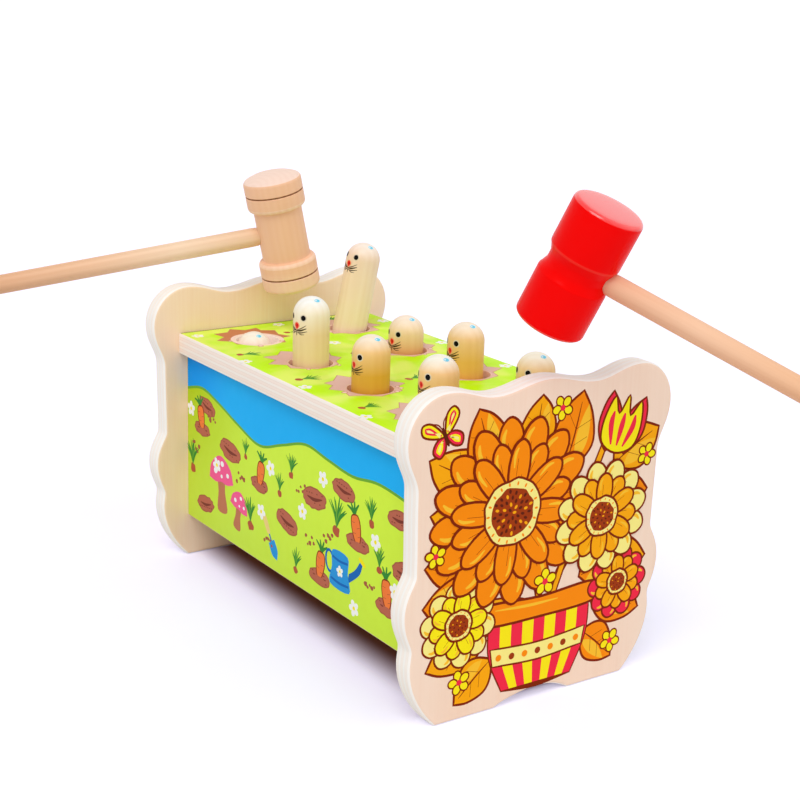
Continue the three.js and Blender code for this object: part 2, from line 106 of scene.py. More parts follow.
def christen(name: str) -> Piece:
    """Names the active piece and its mesh, and puts its place into its mesh.

    Args:
        name: Its name.

    Returns:
        The piece, at the origin.
    """
    obj = bpy.context.active_object
    obj.name = obj.data.name = name
    bpy.ops.object.transform_apply(location=True, rotation=True, scale=True)
    return obj


def shown(name: str, data: bpy.types.ID) -> Piece:
    """A new object of the scene.

    Args:
        name: Its name.
        data: Its curve, lamp or camera.

    Returns:
        The object.
    """
    obj = bpy.data.objects.new(name, data)
    bpy.context.scene.collection.objects.link(obj)
    return obj


@contextmanager
def editing(obj: Piece) -> Iterator[None]:
    """Edit mode on one piece, entered with all of it selected.

    Args:
        obj: The piece.
    """
    choose(obj)
    bpy.ops.object.mode_set(mode="EDIT")
    bpy.ops.mesh.select_all(action="SELECT")
    try:
        yield
    finally:
        bpy.ops.object.mode_set(mode="OBJECT")


def face_out() -> None:
    """Turns all the faces outwards, in edit mode."""
    bpy.ops.mesh.select_all(action="SELECT")
    bpy.ops.mesh.normals_make_consistent(inside=False)


def bevel_edges(obj: Piece, wanted: Callable[[Edge], bool], width: float, segments: int) -> None:
    """Rounds some edges, in edit mode.

    Args:
        obj: The piece.
        wanted: Says whether an edge is rounded.
        width, segments: Width of the round and facets across it.
    """
    bpy.ops.mesh.select_mode(type="EDGE")
    mesh = bmesh.from_edit_mesh(obj.data)
    for part in (*mesh.faces, *mesh.edges):
        part.select_set(False)
    for edge in filter(wanted, mesh.edges):
        edge.select_set(True)
    bmesh.update_edit_mesh(obj.data)
    bpy.ops.mesh.bevel(offset=width, segments=segments, affect="EDGES", clamp_overlap=True)


def soft_block(name: str, low: Vector, high: Vector, edge_round: float, segments: int) -> Piece:
    """A box between two corners with its edges rounded.

    Args:
        name: Its name.
        low, high: Its corners, in metres.
        edge_round, segments: Width of the rounds in metres and facets across them.

    Returns:
        The box.
    """
    deselect_all()
    bpy.ops.mesh.primitive_cube_add(size=1, location=(low + high) / 2, scale=high - low)
    obj = christen(name)
    with editing(obj):
        bevel_edges(obj, lambda edge: edge.calc_face_angle(0) > math.radians(30), edge_round, segments)
    return obj


def rod_tool(centre: Vector, direction: Axis, radius: float, length: float, sides: int) -> Piece:
    """A round rod used as a drill.

    Args:
        centre: Its middle, in metres.
        direction: Axis that it lies along.
        radius, length, sides: Its radius and length in metres, and its sides.

    Returns:
        The rod.
    """
    turns = {Axis.X: (0, math.pi / 2, 0), Axis.Y: (math.pi / 2, 0, 0), Axis.Z: (0, 0, 0)}
    deselect_all()
    bpy.ops.mesh.primitive_cylinder_add(
        vertices=sides, radius=radius, depth=length, location=centre, rotation=turns[direction]
    )
    return christen("drill")


def apply_modifier(obj: Piece, kind: str, **settings: object) -> None:
    """Adds a modifier and applies it.

    Args:
        obj: The piece.
        kind: Blender's name for the modifier.
        **settings: Its settings.
    """
    choose(obj)
    modifier = obj.modifiers.new("work", kind)
    for key, value in settings.items():
        setattr(modifier, key, value)
    bpy.ops.object.modifier_apply(modifier=modifier.name)


def drill(obj: Piece, rods: Sequence[Piece]) -> None:
    """Cuts rods out of a piece and removes them.

    Args:
        obj: The piece.
        rods: The rods, none touching another.
    """
    choose(*rods)
    bpy.ops.object.join()
    tool = bpy.context.active_object
    apply_modifier(obj, "BOOLEAN", operation="DIFFERENCE", solver="EXACT", object=tool)
    bpy.data.objects.remove(tool)


def turned(name: str, profile: Sequence[Point], sides: int) -> Piece:
    """A turned solid about Z, grown ring by ring from its lower end as on a lathe.

    Args:
        name: Its name.
        profile: Radius and height of each ring, none with a radius of zero.
        sides: Facets round the axis.

    Returns:
        The closed solid, with its faces outwards.
    """
    radius, height = profile[0]
    deselect_all()
    bpy.ops.mesh.primitive_circle_add(
        vertices=sides, radius=radius * MM, location=(0, 0, height * MM), fill_type="NGON"
    )
    obj = christen(name)
    with editing(obj):
        for (last_radius, last_height), (radius, height) in zip(profile, profile[1:]):
            rise = (0, 0, (height - last_height) * MM)
            bpy.ops.mesh.extrude_region_move(TRANSFORM_OT_translate={"value": rise})
            ratio = radius / last_radius
            bpy.ops.transform.resize(value=(ratio, ratio, 1), center_override=(0, 0, height * MM))
        face_out()
    return obj


def arc(radius: float, centre: Point, start: float, end: float, steps: int) -> Loop:
    """Profile points of an arc.

    Args:
        radius: Its radius.
        centre: Its centre, as distance from the axis and height.
        start, end: Angles of its ends, in degrees.
        steps: Steps between them.

    Returns:
        Radius and height of each point.
    """
    points = []
    for step in range(steps + 1):
        angle = math.radians(start + (end - start) * step / steps)
        points.append((centre[0] + radius * math.cos(angle), centre[1] + radius * math.sin(angle)))
    return points


def standing(origin: Vector, *axes: Vector) -> Matrix:
    """A place with this origin and these three axes."""
    return Matrix.Translation(origin) @ Matrix(axes).transposed().to_4x4()


def settle(obj: Piece, place: Matrix) -> None:
    """Moves a mesh to its place and leaves its object at the origin."""
    obj.data.transform(place)
    obj.data.update()


def twin(obj: Piece, name: str) -> Piece:
    """Copies a piece, with a mesh of its own.

    Args:
        obj, name: The piece, and the name of the copy.

    Returns:
        The copy.
    """
    copy = shown(name, obj.data.copy())
    copy.data.name = name
    return copy


def smooth(obj: Piece, degrees: float) -> None:
    """Shades a piece smooth, apart from edges that turn more than these degrees."""
    choose(obj)
    bpy.ops.object.shade_smooth_by_angle(angle=math.radians(degrees))


def dress(obj: Piece, *finishes: Finish, by_face: Callable[[Face], int] | None = None) -> None:
    """Gives a piece these finishes in place of what it had.

    Args:
        obj: The piece.
        *finishes: Its finishes.
        by_face: Gives the number of a face's finish, where it isn't the first for all.
    """
    obj.data.materials.clear()
    for finish in finishes:
        obj.data.materials.append(finish)
    if by_face:
        for face in obj.data.polygons:
            face.material_index = by_face(face)


def hand_in(obj: Piece, body: str, slot: str | None, *nodes: str) -> None:
    """Puts a finished piece on its body and reports it.

    Args:
        obj: The piece.
        body: Body that carries it.
        slot: Not used.
        *nodes: Nodes that it stands for.
    """
    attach(obj, body)
    if nodes:
        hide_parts(*nodes)
    log.info("%s rides on %s with %d faces", obj.name, body, len(obj.data.polygons))


# Finishes


def linear(colour: Colour) -> tuple[float, float, float, float]:
    """Turns a screen colour into the linear one that shaders take.

    Args:
        colour: Red, green and blue from 0 to 255.

    Returns:
        Linear red, green, blue and an alpha of one.
    """
    parts = []
    for value in colour:
        share = value / 255
        parts.append(share / 12.92 if share <= 0.04045 else ((share + 0.055) / 1.055) ** 2.4)
    return (*parts, 1.0)


class Recipe:
    """The node tree of one material, built a node at a time."""

    def __init__(self, name: str, roughness: float, **constants: float) -> None:
        """Starts a material.

        Args:
            name: Its name.
            roughness: Its base roughness.
            **constants: Other inputs of its shader, with _ for a space.
        """
        self.material = bpy.data.materials.new(name)
        self.material.use_nodes = True
        self.tree = self.material.node_tree
        self.shader = self.tree.nodes["Principled BSDF"]
        for key, value in {"Roughness": roughness, **constants}.items():
            self.shader.inputs[key.replace("_", " ")].default_value = value
        self.coords = self.add("TexCoord").outputs["Object"]

    def add(self, kind: str, inputs: dict | None = None, **settings: object) -> bpy.types.ShaderNode:
        """Adds a node.

        Args:
            kind: Blender's name for its type, without ShaderNode.
            inputs: Values or sockets for its inputs, by name or number.
            **settings: Settings of the node itself.

        Returns:
            The node.
        """
        node = self.tree.nodes.new("ShaderNode" + kind)
        for key, value in settings.items():
            setattr(node, key, value)
        for key, value in (inputs or {}).items():
            self.feed(node.inputs[key], value)
        return node

    def feed(self, socket: Socket, value: object) -> None:
        """Links or sets one input.

        Args:
            socket: The input.
            value: A socket, a value, or a screen colour as three whole numbers.
        """
        if isinstance(value, bpy.types.NodeSocket):
            self.tree.links.new(value, socket)
        else:
            is_colour = socket.type == "RGBA" and len(value) == 3
            socket.default_value = linear(value) if is_colour else value

    def scaled(self, source: Socket, scale: Sequence[float]) -> Socket:
        """Stretches coordinates by a scale along each axis."""
        return self.add("Mapping", {"Vector": source, "Scale": scale}).outputs["Vector"]

    def noise(self, source: Socket, scale: float, detail: float = 3, **more: float) -> Socket:
        """Cloudy noise from 0 to 1, with this many clouds in a metre and layers of detail."""
        inputs = {"Vector": source, "Scale": scale, "Detail": detail, **more}
        return self.add("TexNoise", inputs).outputs["Fac"]

    def maths(self, operation: str, first: object, second: object = 0.0) -> Socket:
        """One step of arithmetic on sockets or numbers."""
        return self.add("Math", {0: first, 1: second}, operation=operation).outputs[0]

    def vectors(self, operation: str, first: object, second: object = (0, 0, 0)) -> Socket:
        """One step of arithmetic on coordinates."""
        node = self.add("VectorMath", {0: first, 1: second}, operation=operation)
        return node.outputs["Value" if operation in ("DISTANCE", "LENGTH") else "Vector"]

    def ramp(self, factor: Socket, *stops: tuple[float, Colour]) -> Socket:
        """A colour ramp.

        Args:
            factor: What drives it.
            *stops: Place and screen colour of each stop, in order.

        Returns:
            The colour.
        """
        node = self.add("ValToRGB", {"Fac": factor})
        elements = node.color_ramp.elements
        for element, (place, colour) in zip(elements, (stops[0], stops[-1])):
            element.position, element.color = place, linear(colour)
        for place, colour in stops[1:-1]:
            elements.new(place).color = linear(colour)
        return node.outputs["Color"]

    def mix(self, factor: object, first: object, second: object, blend: str = "MIX") -> Socket:
        """Mixes two colours by the share of the second one."""
        inputs = {"Factor": factor, 6: first, 7: second}
        return self.add("Mix", inputs, data_type="RGBA", blend_type=blend).outputs[2]

    def between(self, value: Socket, low: float, high: float) -> Socket:
        """Maps 0 to 1 onto a range."""
        inputs = {"Value": value, "To Min": low, "To Max": high}
        return self.add("MapRange", inputs).outputs["Result"]

    def share(self, value: Socket, low: float, high: float, curve: str = "SMOOTHSTEP") -> Socket:
        """Maps a range onto 0 to 1."""
        inputs = {"Value": value, "From Min": low, "From Max": high}
        return self.add("MapRange", inputs, interpolation_type=curve).outputs["Result"]

    def bump(self, height: Socket, strength: float, depth: float) -> None:
        """Presses a height into the surface."""
        node = self.add("Bump", {"Height": height, "Strength": strength, "Distance": depth * MM})
        self.feed(self.shader.inputs["Normal"], node.outputs["Normal"])

    def colour(self, value: Socket) -> None:
        """Links the base colour."""
        self.feed(self.shader.inputs["Base Color"], value)

    def roughen(self, value: Socket, low: float, high: float) -> None:
        """Lets the roughness follow a noise between two values."""
        self.feed(self.shader.inputs["Roughness"], self.between(value, low, high))


def stretched(axis: Axis, across: float, along: float) -> tuple[float, ...]:
    """A scale that stretches a pattern along one axis."""
    return tuple(along if index == axis.value else across for index in range(3))


def darker(colour: Colour, share: float) -> Colour:
    """A colour with a share of its light."""
    return tuple(round(value * share) for value in colour)


@dataclass(frozen=True)
class WoodFace:
    """A sanded face of pale plywood with fine grain along one axis."""

    name: str
    pale: Colour
    streak: Colour
    grain: Axis
    roughness: float = 0.5
    fibres_per_metre: float = 700
    figure_per_metre: float = 26

    def make(self) -> Finish:
        """Builds the material.

        Returns:
            The material.
        """
        recipe = Recipe(self.name, self.roughness)
        slow = recipe.scaled(recipe.coords, stretched(self.grain, 1, 0.16))
        figure = recipe.noise(slow, self.figure_per_metre, 3, Distortion=0.8)
        fine = recipe.scaled(recipe.coords, stretched(self.grain, 1, 0.03))
        fibres = recipe.noise(fine, self.fibres_per_metre, 2)
        tone = recipe.maths("ADD", recipe.maths("MULTIPLY", figure, 0.65), recipe.maths("MULTIPLY", fibres, 0.35))
        recipe.colour(recipe.ramp(tone, (0.34, self.streak), (0.62, self.pale)))
        recipe.roughen(fibres, self.roughness - 0.06, self.roughness + 0.08)
        recipe.bump(fibres, 0.25, 0.05)
        return recipe.material


@dataclass(frozen=True)
class PlyEdge:
    """A sanded edge of plywood, with its plies and thin dark glue lines."""

    name: str
    axis: Axis
    start: float
    ply: float
    pale: Colour
    deep: Colour
    glue: Colour
    line_share: float = 0.75
    waver: float = 0.25

    def make(self) -> Finish:
        """Builds the material.

        Returns:
            The material.
        """
        recipe = Recipe(self.name, 0.6)
        split = recipe.add("SeparateXYZ", {"Vector": recipe.coords})
        waver = recipe.noise(recipe.coords, 60, 2)
        shift = recipe.between(waver, -self.waver * MM, self.waver * MM)
        place = recipe.maths("ADD", split.outputs[self.axis.value], shift)
        plies = recipe.maths("DIVIDE", recipe.maths("SUBTRACT", place, self.start), self.ply)
        within = recipe.maths("FRACT", plies)
        pair = recipe.maths("FRACT", recipe.maths("MULTIPLY", recipe.maths("FLOOR", plies), 0.5))
        fibres = recipe.noise(recipe.scaled(recipe.coords, stretched(self.axis, 0.12, 1)), 900, 3)
        ply_tone = recipe.mix(recipe.maths("GREATER_THAN", pair, 0.25), self.pale, self.deep)
        toned = recipe.mix(recipe.between(fibres, 0.0, 0.45), ply_tone, self.deep)
        line = recipe.ramp(within, (0.0, (255, 255, 255)), (0.09, (150, 150, 150)), (0.2, (0, 0, 0)))
        recipe.colour(recipe.mix(recipe.maths("MULTIPLY", line, self.line_share), toned, self.glue))
        recipe.bump(recipe.maths("SUBTRACT", fibres, line), 0.3, 0.06)
        return recipe.material


@dataclass(frozen=True)
class TurnedWood:
    """Turned wood with its grain along the axis of the piece and rings on its end.

    The bands give its tone by height over the centre, in millimetres, from the lowest one up.
    """

    name: str
    pale: Colour
    streak: Colour
    place: Matrix
    roughness: float = 0.42
    fibres_per_metre: float = 900
    pith_offset: float = 14.0
    ring_pitch: float = 1.9
    bands: tuple[tuple[float, Colour], ...] = ()

    def make(self) -> Finish:
        """Builds the material.

        Returns:
            The material.
        """
        recipe = Recipe(self.name, self.roughness, Specular_IOR_Level=0.3)
        turn = self.place.to_quaternion().to_euler()
        inputs = {"Vector": recipe.coords, "Location": self.place.translation, "Rotation": turn}
        local = recipe.add("Mapping", inputs, vector_type="TEXTURE").outputs["Vector"]
        drift = recipe.noise(recipe.scaled(local, stretched(Axis.Z, 1, 0.12)), 90, 3, Distortion=0.6)
        fibres = recipe.noise(recipe.scaled(local, stretched(Axis.Z, 1, 0.025)), self.fibres_per_metre, 3)
        pith = (self.pith_offset * MM, self.pith_offset * MM, 0)
        offset = recipe.vectors("DISTANCE", recipe.scaled(local, (1, 1, 0)), pith)
        wobble = recipe.maths("ADD", offset, recipe.between(drift, -1.4 * MM, 1.4 * MM))
        rings = recipe.maths("PINGPONG", recipe.maths("DIVIDE", wobble, self.ring_pitch * MM), 1.0)
        tone = recipe.maths("MULTIPLY", drift, 0.34)
        for part, weight in ((fibres, 0.36), (rings, 0.3)):
            tone = recipe.maths("ADD", tone, recipe.maths("MULTIPLY", part, weight))
        grain = recipe.ramp(tone, (0.3, self.streak), (0.66, self.pale))
        if self.bands:
            low, high = self.bands[0][0], self.bands[-1][0]
            height = recipe.add("SeparateXYZ", {"Vector": local}).outputs["Z"]
            share = recipe.share(height, low * MM, high * MM, "LINEAR")
            stops = [((place - low) / (high - low), colour) for place, colour in self.bands]
            grain = recipe.mix(1.0, grain, recipe.ramp(share, *stops), "MULTIPLY")
        recipe.colour(grain)
        recipe.roughen(fibres, self.roughness - 0.05, self.roughness + 0.1)
        recipe.bump(fibres, 0.12, 0.04)
        return recipe.material


@dataclass(frozen=True)
class PrintInk:
    """A flat ink on wood, a little mottled, which may fade to another tone or lie in patches."""

    name: str
    tone: Colour
    far_tone: Colour | None = None
    centre: Vector = field(default_factory=Vector)
    reach: float = 0.1
    patch: Colour | None = None
    mottle: float = 0.05
    roughness: float = 0.4
    gloss: float = 0.06

    def make(self) -> Finish:
        """Builds the material.

        Returns:
            The material.
        """
        recipe = Recipe(self.name, self.roughness, Specular_IOR_Level=self.gloss)
        cloud = recipe.noise(recipe.coords, 160, 4)
        grain = recipe.noise(recipe.coords, 1500, 2)
        base: object = self.tone
        if self.far_tone:
            distance = recipe.vectors("DISTANCE", recipe.coords, self.centre)
            base = recipe.mix(recipe.share(distance, 0.0, self.reach), base, self.far_tone)
        if self.patch:
            drift = recipe.noise(recipe.coords, 34, 2, Distortion=0.6)
            base = recipe.mix(recipe.share(drift, 0.4, 0.66), base, self.patch)
        mottled = recipe.mix(recipe.between(cloud, 0.0, self.mottle * 2), base, darker(self.tone, 0.86))
        flecked = recipe.mix(recipe.between(grain, 0.0, self.mottle), mottled, (1, 1, 1, 1), "SOFT_LIGHT")
        recipe.colour(flecked)
        recipe.roughen(cloud, self.roughness - 0.05, self.roughness + 0.09)
        recipe.bump(grain, 0.12, 0.03)
        return recipe.material


@dataclass(frozen=True)
class GlossPaint:
    """A thick glossy paint with a faint ripple."""

    name: str
    tone: Colour
    deep: Colour
    gloss: float
    coat: float

    def make(self) -> Finish:
        """Builds the material.

        Returns:
            The material.
        """
        recipe = Recipe(self.name, 0.2, Specular_IOR_Level=self.gloss, Coat_Weight=self.coat, Coat_Roughness=0.08)
        ripple = recipe.noise(recipe.coords, 130, 3)
        peel = recipe.noise(recipe.coords, 900, 2)
        recipe.colour(recipe.mix(recipe.between(ripple, 0.0, 0.5), self.tone, self.deep))
        recipe.roughen(peel, 0.16, 0.28)
        recipe.bump(recipe.maths("ADD", ripple, recipe.maths("MULTIPLY", peel, 0.2)), 0.25, 0.12)
        return recipe.material


@dataclass(frozen=True)
class CottonTape:
    """Woven cotton tape, with threads along and across it."""

    name: str
    tone: Colour
    gap: Colour
    thread_pitch: float = 0.7

    def make(self) -> Finish:
        """Builds the material.

        Returns:
            The material.
        """
        recipe = Recipe(self.name, 0.9, Sheen_Weight=0.3)
        threads = []
        for direction in ("Y", "Z"):
            inputs = {"Vector": recipe.coords, "Scale": 0.31 / (self.thread_pitch * MM), "Distortion": 0.6}
            wave = recipe.add("TexWave", inputs, wave_type="BANDS", bands_direction=direction)
            threads.append(wave.outputs["Fac"])
        weave = recipe.maths("MULTIPLY", *threads)
        fuzz = recipe.noise(recipe.coords, 2500, 2)
        recipe.colour(recipe.mix(weave, self.gap, self.tone))
        recipe.bump(recipe.maths("ADD", weave, recipe.maths("MULTIPLY", fuzz, 0.4)), 0.6, 0.2)
        return recipe.material


@dataclass(frozen=True)
class PlatedSteel:
    """Bright plated steel with a fine brushed haze."""

    name: str
    tone: Colour = (196, 198, 202)

    def make(self) -> Finish:
        """Builds the material.

        Returns:
            The material.
        """
        recipe = Recipe(self.name, 0.3, Metallic=1.0)
        haze = recipe.noise(recipe.scaled(recipe.coords, (1, 1, 0.1)), 1800, 3)
        recipe.colour(recipe.mix(haze, self.tone, darker(self.tone, 0.8)))
        recipe.roughen(haze, 0.22, 0.45)
        recipe.bump(haze, 0.1, 0.02)
        return recipe.material


# Studio


@dataclass
class Studio:
    """Camera, daylight and floor round the toy. Places are in metres."""

    camera_place: Vector = field(default_factory=lambda: Vector((-0.43917, -0.63883, 0.35599)))
    camera_right: Vector = field(default_factory=lambda: Vector((0.82559, -0.56340, 0.03134)))
    camera_up: Vector = field(default_factory=lambda: Vector((0.12937, 0.24305, 0.96135)))
    lens: float = 70.69
    sensor: float = 36.0
    sky_strength: float = 0.55
    floor_size: float = 30.0
    floor_tone: Colour = (240, 239, 243)
    # floor_shade is the colour of the painted shadow under the toy; shade_reach is how far it fades out past the side
    # boards.
    floor_shade: Colour = (130, 84, 68)
    floor_lift: float = 0.37
    lift_tint: tuple[float, ...] = (0.70, 0.655, 1.0, 1.0)
    shade_reach: Point = (0.030, 0.006)

    def set_camera(self) -> None:
        """Puts the camera where the photograph was taken from."""
        data = bpy.data.cameras.new("view")
        data.lens, data.sensor_width = self.lens, self.sensor
        data.clip_start, data.clip_end = 0.01, 100
        camera = shown("view", data)
        right = self.camera_right.normalized()
        back = right.cross(self.camera_up).normalized()
        camera.matrix_world = standing(self.camera_place, right, back.cross(right), back)
        bpy.context.scene.camera = camera

    def set_lights(self) -> None:
        """Hangs two soft suns, the main one over the camera's left shoulder."""
        for name, direction, strength, spread in (
            ("main_light", Vector((-0.62, -0.5, 1.0)), 1.25, 38),
            ("fill_light", Vector((0.75, -0.75, 0.8)), 0.45, 70),
        ):
            data = bpy.data.lights.new(name, "SUN")
            data.energy, data.angle = strength, math.radians(spread)
            shown(name, data).rotation_euler = direction.to_track_quat("Z", "Y").to_euler()

    def set_world(self) -> None:
        """Lights the toy evenly and shows a white backdrop to the eye and in reflections."""
        world = bpy.data.worlds.new("daylight")
        bpy.context.scene.world = world
        world.use_nodes = True
        nodes, link = world.node_tree.nodes, world.node_tree.links.new
        soft = nodes["Background"]
        soft.inputs["Color"].default_value = (0.985, 0.99, 1.0, 1)
        soft.inputs["Strength"].default_value = self.sky_strength
        white = nodes.new("ShaderNodeBackground")
        white.inputs["Color"].default_value = (1, 1, 1, 1)
        path = nodes.new("ShaderNodeLightPath")
        seen = path.outputs["Is Camera Ray"]
        for name in ("Is Glossy Ray", "Is Transmission Ray"):
            either = nodes.new("ShaderNodeMath")
            either.operation = "MAXIMUM"
            link(seen, either.inputs[0])
            link(path.outputs[name], either.inputs[1])
            seen = either.outputs[0]
        choice = nodes.new("ShaderNodeMixShader")
        for number, socket in enumerate((seen, soft.outputs[0], white.outputs[0])):
            link(socket, choice.inputs[number])
        link(choice.outputs[0], nodes["World Output"].inputs["Surface"])

    def lay_floor(self) -> None:
        """Lays a plain pale floor that keeps the toy's shadow and looks white away from it.

        Between the side boards the floor's colour is painted darker, a painted shadow under the toy, and the floor
        isn't lifted there.
        """
        deselect_all()
        bpy.ops.mesh.primitive_plane_add(size=self.floor_size)
        floor = christen("floor")
        recipe = Recipe("floor_paper", 0.9, Specular_IOR_Level=0.0, Emission_Color=self.lift_tint)
        left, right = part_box("left_side")[0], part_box("right_side")[1]
        half = (right - left) / 2
        inputs = {"Vector": recipe.coords, "Location": -(left + right) / 2}
        folded = recipe.vectors("ABSOLUTE", recipe.add("Mapping", inputs).outputs["Vector"])
        reach_x, reach_y = self.shade_reach
        past = recipe.vectors("SUBTRACT", folded, (half.x - reach_x, half.y, 1))
        outside = recipe.vectors("MAXIMUM", past)
        distance = recipe.vectors("LENGTH", recipe.scaled(outside, (1 / reach_x, 1 / reach_y, 0)))
        open_share = recipe.share(distance, 0.0, 1.0)
        # Painted shadow: the floor colour runs from floor_shade under the toy to floor_tone outside it.
        recipe.colour(recipe.mix(open_share, self.floor_shade, self.floor_tone))
        path = recipe.add("LightPath")
        lift = recipe.maths("MULTIPLY", path.outputs["Is Camera Ray"], self.floor_lift)
        recipe.feed(recipe.shader.inputs["Emission Strength"], recipe.maths("MULTIPLY", lift, open_share))
        dress(floor, recipe.material)

    def build(self) -> None:
        """Sets up the whole studio."""
        bpy.context.scene.view_settings.view_transform = "Standard"
        self.set_camera()
        self.set_lights()
        self.set_world()
        self.lay_floor()
        log.info("studio is set")


# Flat drawing for the prints


def bend_through(knots: Sequence[Vector], steps: int) -> Loop:
    """A smooth line from the second knot to the last but one, which is left out.

    Args:
        knots, steps: Its knots, and steps from each one to the next.

    Returns:
        Its points.
    """
    line: Loop = []
    for before, start, end, after in zip(knots, knots[1:], knots[2:], knots[3:]):
        for step in range(steps):
            share = step / steps
            point = 0.5 * (
                2 * start
                + (end - before) * share
                + (2 * before - 5 * start + 4 * end - after) * (share * share)
                + (3 * start - before - 3 * end + after) * share**3
            )
            line.append((point.x, point.y))
    return line


def curve_through(points: Sequence[Point], steps: int = 5) -> Loop:
    """A smooth line through points, its ends included.

    Args:
        points, steps: The points, and steps from each one to the next.

    Returns:
        Its points.
    """
    knots = [Vector(point) for point in points]
    knots = [knots[0] * 2 - knots[1], *knots, knots[-1] * 2 - knots[-2]]
    return [*bend_through(knots, steps), tuple(points[-1])]


def round_outline(points: Sequence[Point], steps: int = 5) -> Loop:
    """A closed smooth outline through points."""
    ring = [Vector(point) for point in points]
    return bend_through([ring[-1], *ring, *ring[:2]], steps)


def outline(*runs: Sequence[Point], steps: int = 5) -> Loop:
    """A closed outline of smooth runs that meet in corners.

    Args:
        *runs: The runs in order, each starting where the last one ended.
        steps: Steps between one point and the next.

    Returns:
        The outline.
    """
    line: Loop = []
    for run in runs:
        line += curve_through(run, steps)[:-1] if len(run) > 2 else [tuple(run[0])]
    return line


def mirrored(side: Sequence[Point]) -> Loop:
    """The points of the right side up and those of the left side down."""
    return [*side, *((-u, v) for u, v in reversed(side) if u)]


def around(centre: Point, angle: float, across: float, up: float | None = None) -> Point:
    """A point of an oval by its angle in radians and its half sizes, which are alike in a circle."""
    up = across if up is None else up
    return (centre[0] + across * math.cos(angle), centre[1] + up * math.sin(angle))


def placed(points: Sequence[Point], at: Point, turn: float = 0.0, size: float = 1.0, flip: bool = False) -> Loop:
    """Moves, turns and sizes a drawing.

    Args:
        points: Its points.
        at, turn, size: Where its origin goes, its turn to the left in degrees and its scale.
        flip: Whether it is mirrored left to right first.

    Returns:
        The new points.
    """
    cosine, sine = math.cos(math.radians(turn)) * size, math.sin(math.radians(turn)) * size
    side = -1 if flip else 1
    return [(at[0] + side * u * cosine - v * sine, at[1] + side * u * sine + v * cosine) for u, v in points]


def oval(centre: Point, width: float, height: float, turn: float = 0.0, sides: int = 22) -> Loop:
    """An oval outline.

    Args:
        centre: Its middle.
        width, height: Its full size.
        turn: Its turn in degrees.
        sides: Its number of points.

    Returns:
        The outline.
    """
    angles = [2 * math.pi * index / sides for index in range(sides)]
    return placed([around((0, 0), angle, width / 2, height / 2) for angle in angles], centre, turn)


def grown(loop: Loop, amount: float) -> Loop:
    """An outline pushed out by an amount, or pulled in by a negative one.

    Args:
        loop, amount: The outline and the amount.

    Returns:
        The new outline.
    """
    following = loop[1:] + loop[:1]
    area = sum(a[0] * b[1] - b[0] * a[1] for a, b in zip(loop, following))
    push = amount if area > 0 else -amount
    pushed: Loop = []
    for before, point, after in zip(loop[-1:] + loop, loop, following):
        along = (Vector(after) - Vector(before)).normalized()
        pushed.append((point[0] + along.y * push, point[1] - along.x * push))
    return pushed


def stroke(points: Sequence[Point], width: float, ends: float = 0.25, steps: int = 5) -> Loop:
    """The outline of a pen stroke that is thinner at its ends.

    Args:
        points: Points that the pen goes through.
        width, ends: Width in the middle, and the share of it at the ends.
        steps: Steps between one point and the next.

    Returns:
        The outline.
    """
    line = [Vector(point) for point in (curve_through(points, steps) if len(points) > 2 else points)]
    count = len(line) - 1
    left: Loop = []
    right: Loop = []
    for index, point in enumerate(line):
        along = (line[min(index + 1, count)] - line[max(index - 1, 0)]).normalized()
        press = ends + (1 - ends) * math.sin(math.pi * index / count)
        reach = Vector((-along.y, along.x)) * width * press / 2
        left.append(tuple(point + reach))
        right.append(tuple(point - reach))
    return right + left[::-1]


def ragged(centre: Point, width: float, height: float, roughness: float, seed: int, points: int = 26) -> Loop:
    """An oval with a crumbly edge.

    Args:
        centre: Its middle.
        width, height: Its full size.
        roughness: How far the edge strays, as a share of the radius.
        seed, points: Seed for the strays and how many there are.

    Returns:
        The outline.
    """
    chance = random.Random(seed)
    ring = []
    for index in range(points):
        reach = 1 + chance.uniform(-roughness, roughness)
        ring.append(around(centre, 2 * math.pi * index / points, width / 2 * reach, height / 2 * reach))
    return round_outline(ring, 2)


class Tone(Enum):
    """The inks of the prints, as screen colours."""

    LINE = (130, 38, 2)
    ORANGE = (255, 142, 6)
    AMBER = (255, 172, 10)
    GOLD = (255, 196, 48)
    CREAM = (255, 242, 138)
    CRIMSON = (246, 42, 72)
    LEMON = (255, 238, 22)
    BROWN = (160, 58, 12)
    UMBER = (96, 32, 10)
    WHITE = (253, 253, 248)
    SOIL = (190, 104, 80)
    FURROW = (128, 58, 44)
    PEBBLE = (168, 92, 64)
    CARROT = (250, 128, 58)
    BLADE = (52, 140, 52)
    BLADE_PALE = (112, 176, 50)
    ROOT = (186, 88, 58)
    CAP = (252, 96, 150)
    STALK = (196, 120, 86)
    CAN = (40, 152, 224)
    CAN_DARK = (20, 104, 186)
    TIMBER = (244, 214, 132)
    STAR = (232, 186, 170)
    STAR_EDGE = (206, 140, 112)
    BURROW = (205, 126, 84)
    BURROW_RING = (255, 222, 208)
    # A painted shadow along the lawn's rear edge, where it meets the rear panel.
    SHADE = (128, 140, 22)


Ink = Tone | Finish


@dataclass
class InkShelf:
    """Flat inks, each mixed when it is first asked for."""

    mixed: dict[Tone, Finish] = field(default_factory=dict)

    def ink(self, tone: Ink) -> Finish:
        """The finish of a tone, or the finish itself where one is given.

        Args:
            tone: A tone, or a finish made elsewhere.

        Returns:
            The finish.
        """
        if not isinstance(tone, Tone):
            return tone
        if tone not in self.mixed:
            self.mixed[tone] = PrintInk(f"ink_{tone.name.lower()}", tone.value).make()
        return self.mixed[tone]


